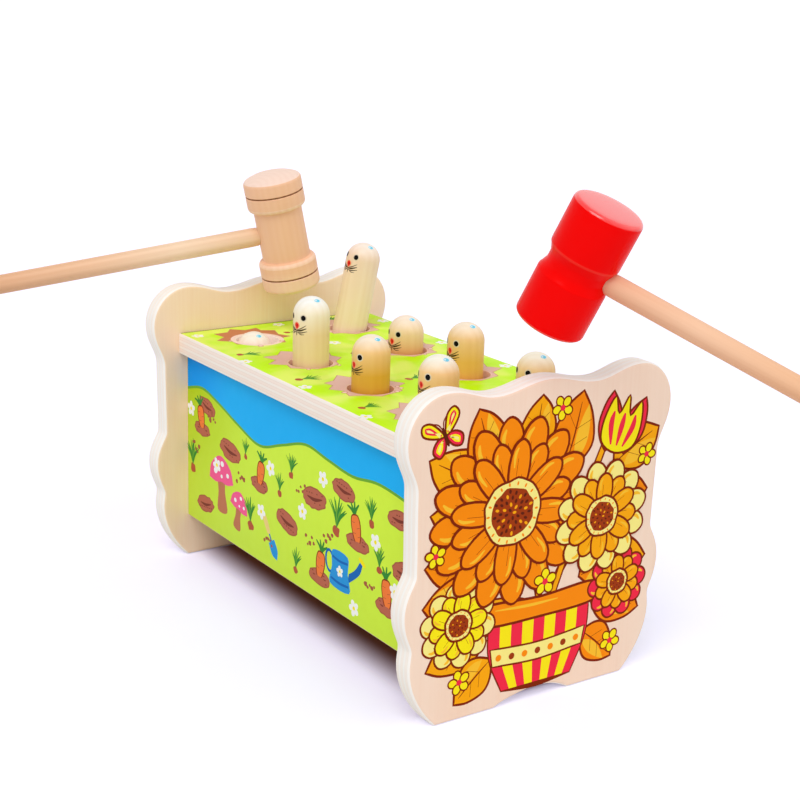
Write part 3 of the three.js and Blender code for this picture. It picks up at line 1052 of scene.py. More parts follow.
@dataclass
class PrintSheet:
    """A print on a flat face. Each shape is a thin slab of ink over those that it overlaps."""

    name: str
    origin: Vector
    right: Vector
    up: Vector
    shelf: InkShelf
    coat: float = 0.004
    sunk: float = 0.02
    weld: float = 0.0004
    drafts: list[Piece] = field(default_factory=list)
    covered: list[tuple[float, float, float, float, int]] = field(default_factory=list)

    def spot(self, u: float, v: float) -> Vector:
        """The place of a point of the sheet, in metres."""
        return self.origin + (self.right * u + self.up * v) * MM

    def coats_under(self, loops: Sequence[Loop]) -> int:
        """Counts the coats of ink where a shape goes, and books its own.

        Args:
            loops: The outlines of the shape.

        Returns:
            How many coats of ink lie under it.
        """
        across, upward = ([point[way] for loop in loops for point in loop] for way in (0, 1))
        left, right, low, high = min(across), max(across), min(upward), max(upward)
        coats = 0
        for other_left, other_right, other_low, other_high, level in self.covered:
            if other_left < right and left < other_right and other_low < high and low < other_high:
                coats = max(coats, level)
        self.covered.append((left, right, low, high, coats + 1))
        return coats

    def paint(self, ink: Ink, *loops: Loop) -> None:
        """Draws loops of one ink. A loop inside another is left open.

        Args:
            ink: The ink.
            *loops: Closed outlines.
        """
        top = (self.coats_under(loops) + 1) * self.coat
        curve = bpy.data.curves.new(f"{self.name}_draft", "CURVE")
        curve.dimensions, curve.fill_mode = "2D", "BOTH"
        curve.extrude = (top + self.sunk) / 2
        curve.materials.append(self.shelf.ink(ink))
        for loop in loops:
            spline = curve.splines.new("POLY")
            spline.points.add(len(loop) - 1)
            for knot, point in zip(spline.points, loop):
                knot.co = (*point, 0, 1)
            spline.use_cyclic_u = True
        draft = shown(curve.name, curve)
        draft.location.z = (top - self.sunk) / 2
        self.drafts.append(draft)

    def outlined(self, ink: Ink, loop: Loop, line: float = 1.2) -> None:
        """Draws a shape with a dark line round it, this wide."""
        self.paint(Tone.LINE, grown(loop, line / 2))
        self.paint(ink, grown(loop, -line / 2))

    def build(self) -> Piece:
        """Turns the drafts into one mesh and lays it on its face.

        Returns:
            The print, with one closed slab for each shape.
        """
        choose(*self.drafts)
        bpy.ops.object.convert(target="MESH")
        bpy.ops.object.mode_set(mode="EDIT")
        bpy.ops.mesh.select_all(action="SELECT")
        bpy.ops.mesh.remove_doubles(threshold=self.weld)
        face_out()
        bpy.ops.object.mode_set(mode="OBJECT")
        bpy.ops.object.join()
        obj = christen(self.name)
        place = standing(self.origin, self.right, self.up, self.right.cross(self.up))
        settle(obj, place @ Matrix.Scale(MM, 4))
        return obj


# Motifs of the prints


def petal(length: float, width: float) -> Loop:
    """A blunt petal that points up from its foot at the origin.

    Args:
        length, width: Its full size.

    Returns:
        The outline.
    """
    half = width / 2
    side = [(0.3 * half, 0), (0.94 * half, 0.52 * length), (0.82 * half, 0.86 * length), (0.28 * half, length)]
    return round_outline(mirrored(side), 3)


def leaf(length: float, width: float, bend: float = 0.0) -> Loop:
    """A pointed leaf that grows up from its foot.

    Args:
        length, width: Its full size.
        bend: How far its tip leans to the right, as a share of its length.

    Returns:
        The outline, with its foot at the origin.
    """
    shares = [(0.0, 0.0), (0.72, 0.2), (1.0, 0.45), (0.62, 0.78), (0.0, 1.0)]
    right, left = (
        [(half * across + bend * length * up * up, up * length) for across, up in shares]
        for half in (width / 2, -width / 2)
    )
    return outline(right, left[::-1], steps=4)


@dataclass
class Gardener:
    """Draws plain garden motifs on one sheet. Turns are in degrees, to the left from upright."""

    sheet: PrintSheet

    def put(self, ink: Ink, loop: Loop, at: Point, turn: float = 0.0, size: float = 1.0) -> None:
        """Paints a drawing at its place."""
        self.sheet.paint(ink, placed(loop, at, turn, size))

    def bright_leaf(self, at: Point, length: float, width: float, turn: float, ink: Ink, bend: float = 0.12) -> None:
        """Draws an outlined leaf with its veins and a lighter half.

        Args:
            at, turn: Its foot and its turn.
            length, width: Its size.
            ink: Its ink.
            bend: How far its tip leans, as a share of its length.
        """
        self.sheet.outlined(ink, placed(leaf(length, width, bend), at, turn), 1.3)
        glow = leaf(length * 0.72, width * 0.3, bend)
        self.put(Tone.GOLD, [(u + width * 0.19, v + length * 0.14) for u, v in glow], at, turn)
        rib = [(0, length * 0.06), (bend * length * 0.2, length * 0.45), (bend * length * 0.74, length * 0.86)]
        self.put(Tone.LINE, stroke(rib, 0.9, 0.3, 4), at, turn)
        for side in (-1, 1):
            for share in (0.3, 0.52):
                start = (bend * length * share * share, length * share)
                tip = (start[0] + side * width * 0.3, length * (share + 0.17))
                self.put(Tone.LINE, stroke([start, tip], 0.55, 0.4), at, turn)

    def bloom(self, at: Point, radius: float, count: int, outer: Ink, inner: Ink, turn: float = 0.0) -> None:
        """Draws a double flower with a seeded disc.

        Args:
            at, turn: Its middle and its turn.
            radius: Reach of its outer petals.
            count: Petals in each of its two rings, an even number.
            outer, inner: Inks of its petals.
        """
        line = 0.8 + radius / 90
        for number, (reach, ink) in enumerate(((1.0, outer), (0.76, inner))):
            length = radius * reach
            width = 2 * math.pi * length / count * 0.92
            for index in [*range(0, count, 2), *range(1, count, 2)]:
                angle = turn + 360 * (index + number / 2) / count
                self.sheet.outlined(ink, placed(petal(length, width), at, angle), line)
                gleam = [(-0.24 * width, 0.62 * length), (-0.27 * width, 0.8 * length), (-0.16 * width, 0.9 * length)]
                self.put(Tone.GOLD, stroke(gleam, 0.13 * width, 0.4, 3), at, angle)
                for side in (-0.09, 0.13):
                    crease = [(side * width, 0.42 * length), (side * width * 1.2, (0.66 - side) * length)]
                    self.put(Tone.LINE, stroke(crease, line * 0.42, 0.4), at, angle)
        self.seed_disc(at, radius * 0.36)

    def seed_disc(self, at: Point, radius: float) -> None:
        """Draws the seeded middle of a flower.

        Args:
            at, radius: Its middle and its radius.
        """
        self.sheet.outlined(Tone.CREAM, ragged(at, 2 * radius, 2 * radius, 0.045, 5, 22), 1.2)
        self.sheet.paint(Tone.BROWN, ragged(at, 1.5 * radius, 1.5 * radius, 0.05, 8, 20))
        golden = math.radians(137.5)
        seeds = max(10, round(radius * 2.6))
        spots = []
        for index in range(seeds):
            tone = Tone.UMBER if index % 3 else Tone.AMBER
            spots.append((tone, index * golden, 0.68 * radius * math.sqrt((index + 0.5) / seeds), 0.14, 0.09))
        for index in range(18):
            spots.append((Tone.ORANGE, 2 * math.pi * index / 18, 0.86 * radius, 0.13, 0.07))
        for tone, angle, reach, width, height in spots:
            seed = oval(around(at, angle, reach), width * radius, height * radius, math.degrees(angle), 8)
            self.sheet.paint(tone, seed)

    def tulip(self, at: Point, height: float, turn: float) -> None:
        """Draws a striped tulip head.

        Args:
            at, turn: Its foot and its turn.
            height: Its height.
        """
        half = height * 0.42
        for side in (-1, 1):
            back = leaf(height * 0.98, height * 0.52, 0.16 * side)
            self.sheet.outlined(Tone.CRIMSON, placed([(u + side * half * 0.5, v) for u, v in back], at, turn))
        side = ((0, 0), (0.82, 0.14), (0.98, 0.5), (0.7, 0.9), (0.3, 0.64), (0, 0.96))
        cup = round_outline(mirrored([(half * u, height * v) for u, v in side]), 4)
        self.sheet.outlined(Tone.LEMON, placed(cup, at, turn))
        for share in (-0.56, 0.0, 0.56):
            stripe = [(share * half * wide, height * up) for wide, up in ((0.55, 0.12), (1, 0.45), (1, 0.66))]
            self.put(Tone.CRIMSON, stroke(stripe, half * 0.26, 0.3, 4), at, turn)

    def pot(self, at: Point, width: float, height: float, stripes: int = 9) -> None:
        """Draws a striped flower pot with a rim and a dotted band.

        Args:
            at: Middle of its foot.
            width, height: Width of its rim and its full height.
            stripes: Number of upright stripes.
        """
        top, foot, shoulder = width * 0.45, width * 0.31, height * 0.8

        def side(share: float) -> Loop:
            """A line from the shoulder down to the foot, at a share of the way out to its side."""
            return [(share * top, shoulder), (share * top * 0.96, shoulder * 0.5), (share * foot, 0)]

        def shape(*runs: Loop) -> Loop:
            """A shape of smooth runs at its place, with the end of the last one."""
            return placed([*outline(*runs), runs[-1][-1]], at)

        body = shape(side(1), [(foot, 0), (0, -height * 0.045), (-foot, 0)], side(-1)[::-1])
        self.sheet.paint(Tone.LINE, grown(body, 0.8))
        for index in range(stripes):
            near, far = (2 * index / stripes - 1), (2 * (index + 1) / stripes - 1)
            strip = shape(side(near), [(near * foot, 0), (far * foot, 0)], side(far)[::-1])
            self.sheet.paint(Tone.LEMON if index % 2 else Tone.CRIMSON, strip)
        low, high = height * 0.3, height * 0.5
        band = shape(
            [(-top * 0.9, low), (0, low - 2), (top * 0.9, low)],
            [(top * 0.9, low), (top * 0.95, high)],
            [(top * 0.95, high), (0, high - 2), (-top * 0.95, high)],
        )
        self.sheet.outlined(Tone.CREAM, band, 1.0)
        for index in range(-3, 4):
            dip = -2 * (1 - (index / 3.6) ** 2)
            middle = (at[0] + index * top * 0.26, at[1] + (low + high) / 2 + dip)
            self.sheet.paint(Tone.ORANGE if index % 2 else Tone.BROWN, oval(middle, 3.6, 3.6, 0, 14))
        rim = round_outline([
            (-width / 2, shoulder - 1), (0, shoulder - 2.6), (width / 2, shoulder - 1), (width / 2, height),
            (0, height - 1.4), (-width / 2, height),
        ], 5)
        self.sheet.outlined(Tone.ORANGE, placed(rim, at), 1.4)
        gleam = [(-width * 0.4, height * 0.93), (-width * 0.1, height * 0.9), (width * 0.16, height * 0.9)]
        self.put(Tone.GOLD, stroke(gleam, 1.6, 0.3), at)

    def butterfly(self, at: Point, size: float, turn: float) -> None:
        """Draws a butterfly with banded wings.

        Args:
            at, turn: Its middle and its turn.
            size: Half of its span.
        """
        upper = round_outline([(0.04, 0.05), (0.45, 0.12), (0.98, 0.55), (0.86, 0.98), (0.4, 0.82)], 4)
        lower = round_outline([(0.04, 0.0), (0.5, -0.02), (0.82, -0.38), (0.6, -0.78), (0.2, -0.56)], 4)
        for side in (False, True):
            for wing, first, second in ((lower, Tone.CRIMSON, Tone.LEMON), (upper, Tone.LEMON, Tone.CRIMSON)):
                loop = placed(wing, at, turn, size, side)
                self.sheet.outlined(first, loop, 1.1)
                self.sheet.paint(second, grown(loop, -size * 0.16))
                self.sheet.paint(Tone.CREAM, grown(loop, -size * 0.25))
            feeler = placed([(0.02, 0.3), (0.14, 0.62), (0.34, 0.8)], at, turn, size, side)
            self.sheet.paint(Tone.LINE, stroke(feeler, 0.7, 0.6))
        self.put(Tone.UMBER, oval((0, -0.05), 0.2, 0.95), at, turn, size)

    def blossom(self, at: Point, radius: float, turn: float, ink: Ink, eye: Ink, line: float = 0.8) -> None:
        """Draws a small five-petalled flower.

        Args:
            at, turn: Its middle and its turn.
            radius: Its radius.
            ink, eye: Inks of its petals and its middle.
            line: Width of the line round its petals, or zero for none.
        """
        for index in range(5):
            middle = placed([(0, radius * 0.58)], at, turn + 72 * index)[0]
            loop = oval(middle, radius * 0.72, radius * 0.86, turn + 72 * index, 14)
            if line:
                self.sheet.outlined(ink, loop, line)
            else:
                self.sheet.paint(ink, loop)
        self.sheet.paint(eye, oval(at, radius * 0.5, radius * 0.5, 0, 12))

    def tuft(self, at: Point, height: float, turn: float, seed: int, blades: int = 9) -> None:
        """Draws a tuft of grass that comes out of a crumb of soil.

        Args:
            at, turn: Its foot and its turn.
            height: Its height.
            seed, blades: Seed for its blades and how many there are.
        """
        chance = random.Random(seed)
        self.put(Tone.ROOT, ragged((0, -0.12 * height), 0.36 * height, 0.34 * height, 0.2, seed, 9), at, turn)
        for index in range(blades):
            lean = (index / (blades - 1) - 0.5) * 1.5 + chance.uniform(-0.1, 0.1)
            reach = height * (1 - 0.42 * abs(lean)) * chance.uniform(0.82, 1.05)
            blade = [(0, 0), (lean * reach * 0.3, reach * 0.55), (lean * reach * 0.92, reach)]
            tone = Tone.BLADE if index % 3 else Tone.BLADE_PALE
            self.put(tone, stroke(blade, height * 0.085, 0.2, 3), at, turn)

    def pebbles(self, at: Point, spread: float, seed: int, count: int = 5) -> None:
        """Scatters a few crumbs of soil.

        Args:
            at, spread: Middle and width of the scatter.
            seed, count: Seed for their places and how many there are.
        """
        chance = random.Random(seed)
        for index in range(count):
            middle = (at[0] + spread * (index / count - 0.4), at[1] + chance.uniform(-0.3, 0.3) * spread)
            size = chance.uniform(1.5, 3.3)
            self.sheet.paint(Tone.PEBBLE, ragged(middle, size, size * 0.9, 0.22, seed + index, 8))

    def soil_patch(self, at: Point, width: float, height: float, turn: float, seed: int) -> None:
        """Draws a dug oval of soil with a dark furrow.

        Args:
            at, turn: Its middle and its turn.
            width, height: Its size.
            seed: Seed for its crumbly edge.
        """
        edge = ragged((0, 0), width, height, 0.07, seed, 24)
        self.put(Tone.PEBBLE, edge, at, turn)
        self.put(Tone.SOIL, grown(edge, -0.7), at, turn)
        furrow = [(-0.3 * width, 0.03 * height), (0, -0.06 * height), (0.32 * width, 0.04 * height)]
        self.put(Tone.FURROW, stroke(furrow, 0.17 * height, 0.3), at, turn)
        chance = random.Random(seed)
        for index in range(7):
            crumb = ((index / 7 - 0.42) * 0.74 * width, chance.choice((-1, 1)) * 0.21 * height)
            self.put(Tone.FURROW, oval(crumb, 1.4, 0.7, 0, 7), at, turn)

    def carrot(self, at: Point, height: float, turn: float, seed: int) -> None:
        """Draws a carrot that comes out of its soil.

        Args:
            at, turn: Middle of the soil and the carrot's turn.
            height: Height of the carrot over the soil.
            seed: Seed for the soil's edge.
        """
        self.soil_patch((at[0], at[1] - 1), height * 1.5, height * 0.66, 0, seed)
        for lean in (-0.5, -0.2, 0.12, 0.42):
            frond = [(0, height * 0.9), (lean * 4, height * 1.15), (lean * 12, height * (1.52 - abs(lean) * 0.4))]
            self.put(Tone.BLADE, stroke(frond, 1.7, 0.5, 4), at, turn)
        half = height * 0.3
        side = ((0, -0.16), (0.7, 0.08), (1, 0.6), (0.7, 0.93), (0, 0.98))
        root = round_outline(mirrored([(half * u, height * v) for u, v in side]), 3)
        self.sheet.outlined(Tone.CARROT, placed(root, at, turn), 0.7)
        for side, up in ((-1, 0.72), (1, 0.5), (-1, 0.32), (1, 0.18)):
            nick = [(side * half * 0.8, up * height), (side * half * 0.15, (up - 0.03) * height)]
            self.put(Tone.ROOT, stroke(nick, 0.7, 0.4), at, turn)
        self.put(Tone.SOIL, ragged((0, -0.18 * height), height * 0.9, height * 0.3, 0.14, seed + 1, 16), at)

    def toadstool(self, at: Point, height: float, turn: float) -> None:
        """Draws a spotted toadstool.

        Args:
            at, turn: Its foot and its turn.
            height: Its height.
        """
        stalk = round_outline([(-0.17, 0), (0.17, 0), (0.12, 0.35), (0.13, 0.66), (-0.13, 0.66), (-0.12, 0.35)], 4)
        self.put(Tone.STALK, stalk, at, turn, height)
        cap = outline(
            [(-0.44, 0.55), (-0.34, 0.82), (0, 1.0), (0.34, 0.82), (0.44, 0.55)],
            [(0.44, 0.55), (0.2, 0.5), (0, 0.53), (-0.2, 0.5), (-0.44, 0.55)],
        )
        self.put(Tone.CAP, cap, at, turn, height)
        for u, v, size in ((-0.2, 0.7, 0.13), (0.06, 0.86, 0.12), (0.24, 0.68, 0.1), (0.02, 0.63, 0.08)):
            self.put(Tone.WHITE, oval((u, v), size, size * 0.85, 0, 12), at, turn, height)

    def watering_can(self, at: Point, height: float) -> None:
        """Draws a watering can.

        Args:
            at, height: Middle of its foot and the height of its body.
        """
        body = round_outline([(-0.46, 0), (0.46, 0), (0.38, 0.5), (0.36, 0.96), (-0.36, 0.96), (-0.38, 0.5)], 4)
        spout = outline(
            [(0.36, 0.24), (0.9, 0.66), (1.06, 1.0)], [(1.06, 1.0), (0.95, 1.06)],
            [(0.95, 1.06), (0.7, 0.74), (0.36, 0.5)],
        )
        for ink, *loops in (
            (Tone.CAN_DARK, oval((-0.5, 0.6), 0.44, 0.66, 8, 20), oval((-0.5, 0.6), 0.28, 0.5, 8, 20)),
            (Tone.CAN_DARK, spout),
            (Tone.CAN, body),
            (Tone.CAN_DARK, stroke([(-0.37, 0.78), (0, 0.74), (0.37, 0.78)], 0.07, 0.9)),
            (Tone.CAN_DARK, stroke([(-0.43, 0.17), (0, 0.13), (0.43, 0.17)], 0.07, 0.9)),
            (Tone.LEMON, oval((1.03, 1.06), 0.36, 0.13, -28, 14)),
        ):
            self.sheet.paint(ink, *[placed(loop, at, 0, height) for loop in loops])
        self.blossom((at[0], at[1] + 0.46 * height), height * 0.16, 10, Tone.WHITE, Tone.LEMON, 0)

    def trowel(self, at: Point, length: float, turn: float) -> None:
        """Draws a garden trowel.

        Args:
            at, turn: Its tip and its turn.
            length: Its length.
        """
        blade = outline(
            [(0, 0), (0.13, 0.16), (0.13, 0.42)], [(0.13, 0.42), (-0.13, 0.42)],
            [(-0.13, 0.42), (-0.13, 0.16), (0, 0)],
        )
        shaft = stroke([(0, 0.4), (0, 0.62)], 0.05, 0.9)
        haft = round_outline(mirrored([(0.055, 0.6), (0.08, 0.8), (0.06, 0.99)]), 4)
        for ink, loop in ((Tone.CAN_DARK, shaft), (Tone.CAN, blade), (Tone.TIMBER, haft)):
            self.put(ink, loop, at, turn, length)


# The three pictures


@dataclass
class FrontPicture:
    """A pot of large flowers on the front panel, with bare wood round it."""

    shelf: InkShelf
    panel: str = "front_panel"

    def build(self) -> None:
        """Draws the picture and lays it on the panel."""
        low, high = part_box(self.panel)
        origin = Vector(((low.x + high.x) / 2, low.y, low.z))
        sheet = PrintSheet("front_print", origin, Vector((1, 0, 0)), Vector((0, 0, 1)), self.shelf)
        hand = Gardener(sheet)
        self.draw_leaves(hand)
        hand.pot((2, 9), 70, 47)
        self.draw_flowers(hand)
        hand_in(sheet.build(), "toy", "printed_board")

    def draw_leaves(self, hand: Gardener) -> None:
        """Draws the stems and the leaves behind the flowers.

        Args:
            hand: Who draws.
        """
        for stem in (
            [(2, 50), (-6, 78), (-24, 106)], [(6, 50), (16, 70), (38, 92)], [(0, 50), (-18, 56), (-46, 58)],
            [(8, 50), (26, 100), (40, 134)], [(10, 50), (30, 54), (54, 60)],
        ):
            hand.sheet.paint(Tone.LINE, stroke(stem, 5.2, 0.8))
            hand.sheet.paint(Tone.AMBER, stroke(stem, 3.0, 0.8))
        leaves = (
            (-34, 78, 35, 25, 88, 0.1), (-32, 114, 42, 28, 54, -0.1), (-30, 126, 32, 24, 26, 0.1),
            (-6, 128, 30, 22, 2, 0.12), (12, 118, 40, 26, -20, -0.1), (44, 116, 33, 26, -56, 0.1),
            (44, 100, 24, 20, -84, 0.12), (40, 66, 30, 24, -88, 0.12), (34, 48, 36, 25, -104, 0.12),
            (-30, 42, 38, 24, 102, -0.12), (-36, 62, 33, 25, 82, -0.12), (-30, 98, 38, 24, 80, 0.1),
            (30, 30, 28, 21, -126, 0.1), (-27, 28, 29, 21, 126, -0.1), (26, 60, 26, 22, -70, 0.1),
        )
        for index, (u, v, length, width, turn, bend) in enumerate(leaves):
            hand.bright_leaf((u, v), length, width, turn, Tone.AMBER if index % 2 else Tone.ORANGE, bend)

    def draw_flowers(self, hand: Gardener) -> None:
        """Draws the flowers and the butterfly.

        Args:
            hand: Who draws.
        """
        hand.tulip((44, 122), 31, -16)
        hand.bloom((-48, 50), 22, 10, Tone.CREAM, Tone.LEMON, 8)
        hand.bloom((52, 52), 19, 10, Tone.CRIMSON, Tone.AMBER, 20)
        hand.bloom((-19, 102), 47, 16, Tone.ORANGE, Tone.ORANGE, 4)
        hand.bloom((38, 90), 29, 12, Tone.CREAM, Tone.AMBER, 12)
        hand.butterfly((-60, 146), 11, 24)
        small = (
            (-63, 88, 6, 10), (9, 150, 6.4, 30), (66, 118, 6, 50), (4, 62, 7, 0), (-46, 20, 6.5, 16), (50, 20, 6.5, 40),
        )
        for u, v, radius, turn in small:
            hand.blossom((u, v), radius, turn, Tone.LEMON, Tone.CRIMSON)


@dataclass
class MeadowPicture:
    """A meadow under a blue sky on each side board, with what grows and lies in a garden."""

    shelf: InkShelf
    margin: float = 0.7
    horizon: tuple[Point, ...] = (
        (-123, 80), (-104, 84), (-84, 80), (-60, 73), (-36, 68), (-12, 75), (12, 82), (34, 80), (58, 78),
        (84, 81), (123, 77),
    )

    def build(self) -> None:
        """Draws the picture on both side boards."""
        for node, outward in (("left_side", -1), ("right_side", 1)):
            low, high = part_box(node)
            origin = Vector((low.x if outward < 0 else high.x, (low.y + high.y) / 2, low.z))
            sheet = PrintSheet(f"{node}_print", origin, Vector((0, outward, 0)), Vector((0, 0, 1)), self.shelf)
            half, height = (high.y - low.y) / 2 / MM - self.margin, (high.z - low.z) / MM - self.margin
            self.draw_sky(sheet, half, height)
            self.draw_garden(Gardener(sheet))
            hand_in(sheet.build(), "toy", "printed_board")

    def draw_sky(self, sheet: PrintSheet, half: float, height: float) -> None:
        """Draws the sky over the horizon, with a pale line where the grass begins.

        Args:
            sheet: The sheet.
            half, height: Half of its printed length, and its printed height.
        """
        inside = [(max(-half, min(half, u)), v) for u, v in curve_through(self.horizon, 6)]
        # The sky is painted a deeper, darker blue towards the top corner where the picture starts, a painted shade,
        # lightening within 60 mm.
        sky = PrintInk(f"{sheet.name}_sky", (0, 150, 246), (26, 184, 255), sheet.spot(-half, height), 0.06).make()
        sheet.paint(sky, [(-half, height), *inside, (half, height)])
        line = [*[(u, v + 0.5) for u, v in inside], *[(u, v - 1.1) for u, v in reversed(inside)]]
        sheet.paint(Tone.BLADE_PALE, line)

    def draw_garden(self, hand: Gardener) -> None:
        """Draws what grows and lies in the meadow.

        Args:
            hand: Who draws.
        """
        beds = (
            (-70, 55, 25, 12, -8), (22, 55, 24, 12, 6), (-6, 33, 23, 12, -10), (106, 42, 22, 12, 4),
            (-100, 14, 21, 10, 8), (50, 68, 22, 11, -6), (-98, 74, 20, 10, -12), (100, 68, 20, 10, 5),
        )
        for seed, (u, v, width, height, turn) in enumerate(beds, 11):
            hand.soil_patch((u, v), width, height, turn, seed)
        carrots = ((-104, 60, 13, 12), (-36, 46, 13, -10), (64, 45, 14, 14), (28, 14, 14, -8), (92, 20, 14, 8))
        for seed, (u, v, height, turn) in enumerate(carrots, 31):
            hand.carrot((u, v), height, turn, seed)
        hand.toadstool((-79, 16), 33, 5)
        hand.toadstool((-62, 11), 23, -10)
        hand.watering_can((48, 14), 20)
        hand.trowel((-16, 7), 27, 34)
        tufts = (
            (-116, 34, 17, 4), (-46, 20, 17, 6), (-14, 48, 11, 0), (4, 10, 12, -4), (44, 46, 18, -6),
            (84, 38, 12, 4), (112, 12, 15, 0), (-52, 58, 10, 0), (-2, 62, 12, -4), (76, 60, 13, 4),
        )
        for seed, (u, v, height, turn) in enumerate(tufts, 51):
            hand.tuft((u, v), height, turn, seed)
        daisies = (
            (-118, 68), (-86, 42), (-34, 30), (10, 44), (62, 8), (80, 50), (98, 30), (-24, 58), (30, 68), (118, 58),
        )
        for index, at in enumerate(daisies):
            hand.blossom(at, 4.6, 24 * index, Tone.WHITE, Tone.LEMON, 0)
        crumbs = ((-92, 70), (-58, 42), (-26, 16), (18, 30), (36, 38), (76, 26), (112, 30), (-112, 46), (8, 56))
        for seed, at in enumerate(crumbs, 71):
            hand.pebbles(at, 10, seed)


@dataclass
class LawnPicture:
    """The lawn on the top board, with a star of dug soil round each hole."""

    shelf: InkShelf
    board: "TopBoard"
    star_drift: Point = (0.8, 7.2)
    star_lip: float = 1.7
    star_points: int = 9
    ring_gap: float = 0.55
    ring_width: float = 2.6
    upright: float = -90.0

    def build(self) -> None:
        """Draws the lawn and lays it on the board."""
        low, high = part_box("top_board")
        middle = Vector(((low.x + high.x) / 2, (low.y + high.y) / 2, high.z))
        sheet = PrintSheet("top_print", middle, Vector((1, 0, 0)), Vector((0, 1, 0)), self.shelf)
        for index, hole in enumerate(self.board.holes()):
            self.draw_star(sheet, ((hole.x - middle.x) / MM, (hole.y - middle.y) / MM), index)
        self.draw_plants(Gardener(sheet))
        side, end = (high.x - low.x) / 2 / MM - 1, (high.y - low.y) / 2 / MM
        # Painted shadow: a thin dark strip along the rear edge of the lawn, against the rear panel.
        sheet.paint(Tone.SHADE, [(-side, end - 1.4), (side, end - 1.4), (side, end - 0.3), (-side, end - 0.3)])
        hand_in(sheet.build(), "toy", "printed_board")

    def draw_star(self, sheet: PrintSheet, hole: Point, index: int) -> None:
        """Draws the dug soil round one hole. That of the first hole has a pale ring.

        Args:
            sheet: The sheet.
            hole, index: Middle of the hole and its number, which also seeds its shape.
        """
        chance = random.Random(200 + index)
        middle = (hole[0] + self.star_drift[0], hole[1] + self.star_drift[1])
        inner = self.board.hole_radius + self.ring_gap
        edge = []
        for point in range(2 * self.star_points):
            angle = math.pi * (point + chance.uniform(-0.25, 0.25)) / self.star_points
            reach = chance.uniform(20.5, 24.5) if point % 2 else chance.uniform(16.4, 17.8)
            tip = Vector(around(middle, angle, reach)) - Vector(hole)
            edge.append(tuple(Vector(hole) + tip.normalized() * max(tip.length, inner + self.star_lip)))
        opening = oval(hole, 2 * inner, 2 * inner, 0, 48)
        pale_ring = index == 0
        sheet.paint(Tone.STAR_EDGE, edge, opening)
        sheet.paint(Tone.BURROW if pale_ring else Tone.STAR, grown(edge, -0.6), opening)
        if pale_ring:
            outer = 2 * (inner + self.ring_width)
            sheet.paint(Tone.BURROW_RING, oval(hole, outer, outer, 0, 48), opening)
        for _ in range(4):
            angle = chance.uniform(0, 2 * math.pi)
            at = around(hole, angle, inner + chance.uniform(1.6, 3.4))
            size = chance.uniform(1.6, 2.8)
            sheet.paint(Tone.STAR_EDGE, oval(at, size + 0.7, size + 0.7, 0, 12))
            sheet.paint(Tone.BURROW_RING, oval(at, size - 0.3, size - 0.3, 0, 12))

    def draw_plants(self, hand: Gardener) -> None:
        """Draws the tufts and the small white flowers between the holes.

        Args:
            hand: Who draws.
        """
        tufts = (
            (-56, 62), (-54, 2), (-54, -58), (-6, 96), (2, 36), (-2, -24), (4, -84),
            (56, 66), (52, 6), (56, -54), (-34, -112), (30, 114),
        )
        for index, at in enumerate(tufts):
            hand.tuft(at, 12, self.upright + 8 * (index % 3 - 1), 91 + index, 7)
        daisies = (
            (-58, 112), (-2, 116), (-62, 48), (-60, -12), (-62, -72), (4, 62), (-4, 6), (4, -54),
            (60, 34), (60, 96), (60, -26), (60, -86), (2, -116), (52, -115),
        )
        for index, at in enumerate(daisies):
            hand.blossom(at, 3.8, 17 * index, Tone.WHITE, Tone.LEMON, 0)


# Bench


@dataclass(frozen=True)
class Workshop:
    """The wood, tape and steel of the toy, each made once."""

    face: Finish
    rear_face: Finish
    plain_ply: Finish
    beech: Finish
    tape: Finish
    steel: Finish

    @classmethod
    def stocked(cls) -> "Workshop":
        """Makes the shared finishes.

        Returns:
            The workshop.
        """
        return cls(
            face=WoodFace("birch_face", (251, 224, 201), (248, 217, 192), Axis.Z).make(),
            # The rear panel's birch is painted lighter and yellower than the front's: painted light standing in for the
            # lawn's yellow bounce on its shaded face.
            rear_face=WoodFace("birch_face_rear_painted_light", (255, 229, 199), (251, 219, 184), Axis.Z).make(),
            plain_ply=WoodFace("plain_ply_face", (232, 204, 162), (212, 178, 132), Axis.Y, 0.6).make(),
            beech=WoodFace("beech_face", (226, 180, 138), (204, 152, 110), Axis.Y, 0.55).make(),
            tape=CottonTape("cotton_tape", (236, 230, 218), (178, 168, 150)).make(),
            steel=PlatedSteel("plated_steel").make(),
        )


PLIES = 7
DOWEL_RADIUS = 3.3
DOWEL_REACH = 45.0


def dowel_drills(middle: Vector, depth: float) -> list[Piece]:
    """Two drills along Y for dowels, on either side of a place.

    Args:
        middle: The place, in metres.
        depth: How deep they go from it.

    Returns:
        The drills.
    """
    rods = []
    for side in (-1, 1):
        centre = middle + Vector((side * DOWEL_REACH * MM, 0, 0))
        rods.append(rod_tool(centre, Axis.Y, DOWEL_RADIUS * MM, 2 * depth * MM, 20))
    return rods


@dataclass(frozen=True)
class Station:
    """A point of an end panel's outline, as shares of its half width and height."""

    across: float
    up: float
    heading: Point
    back: float
    ahead: float


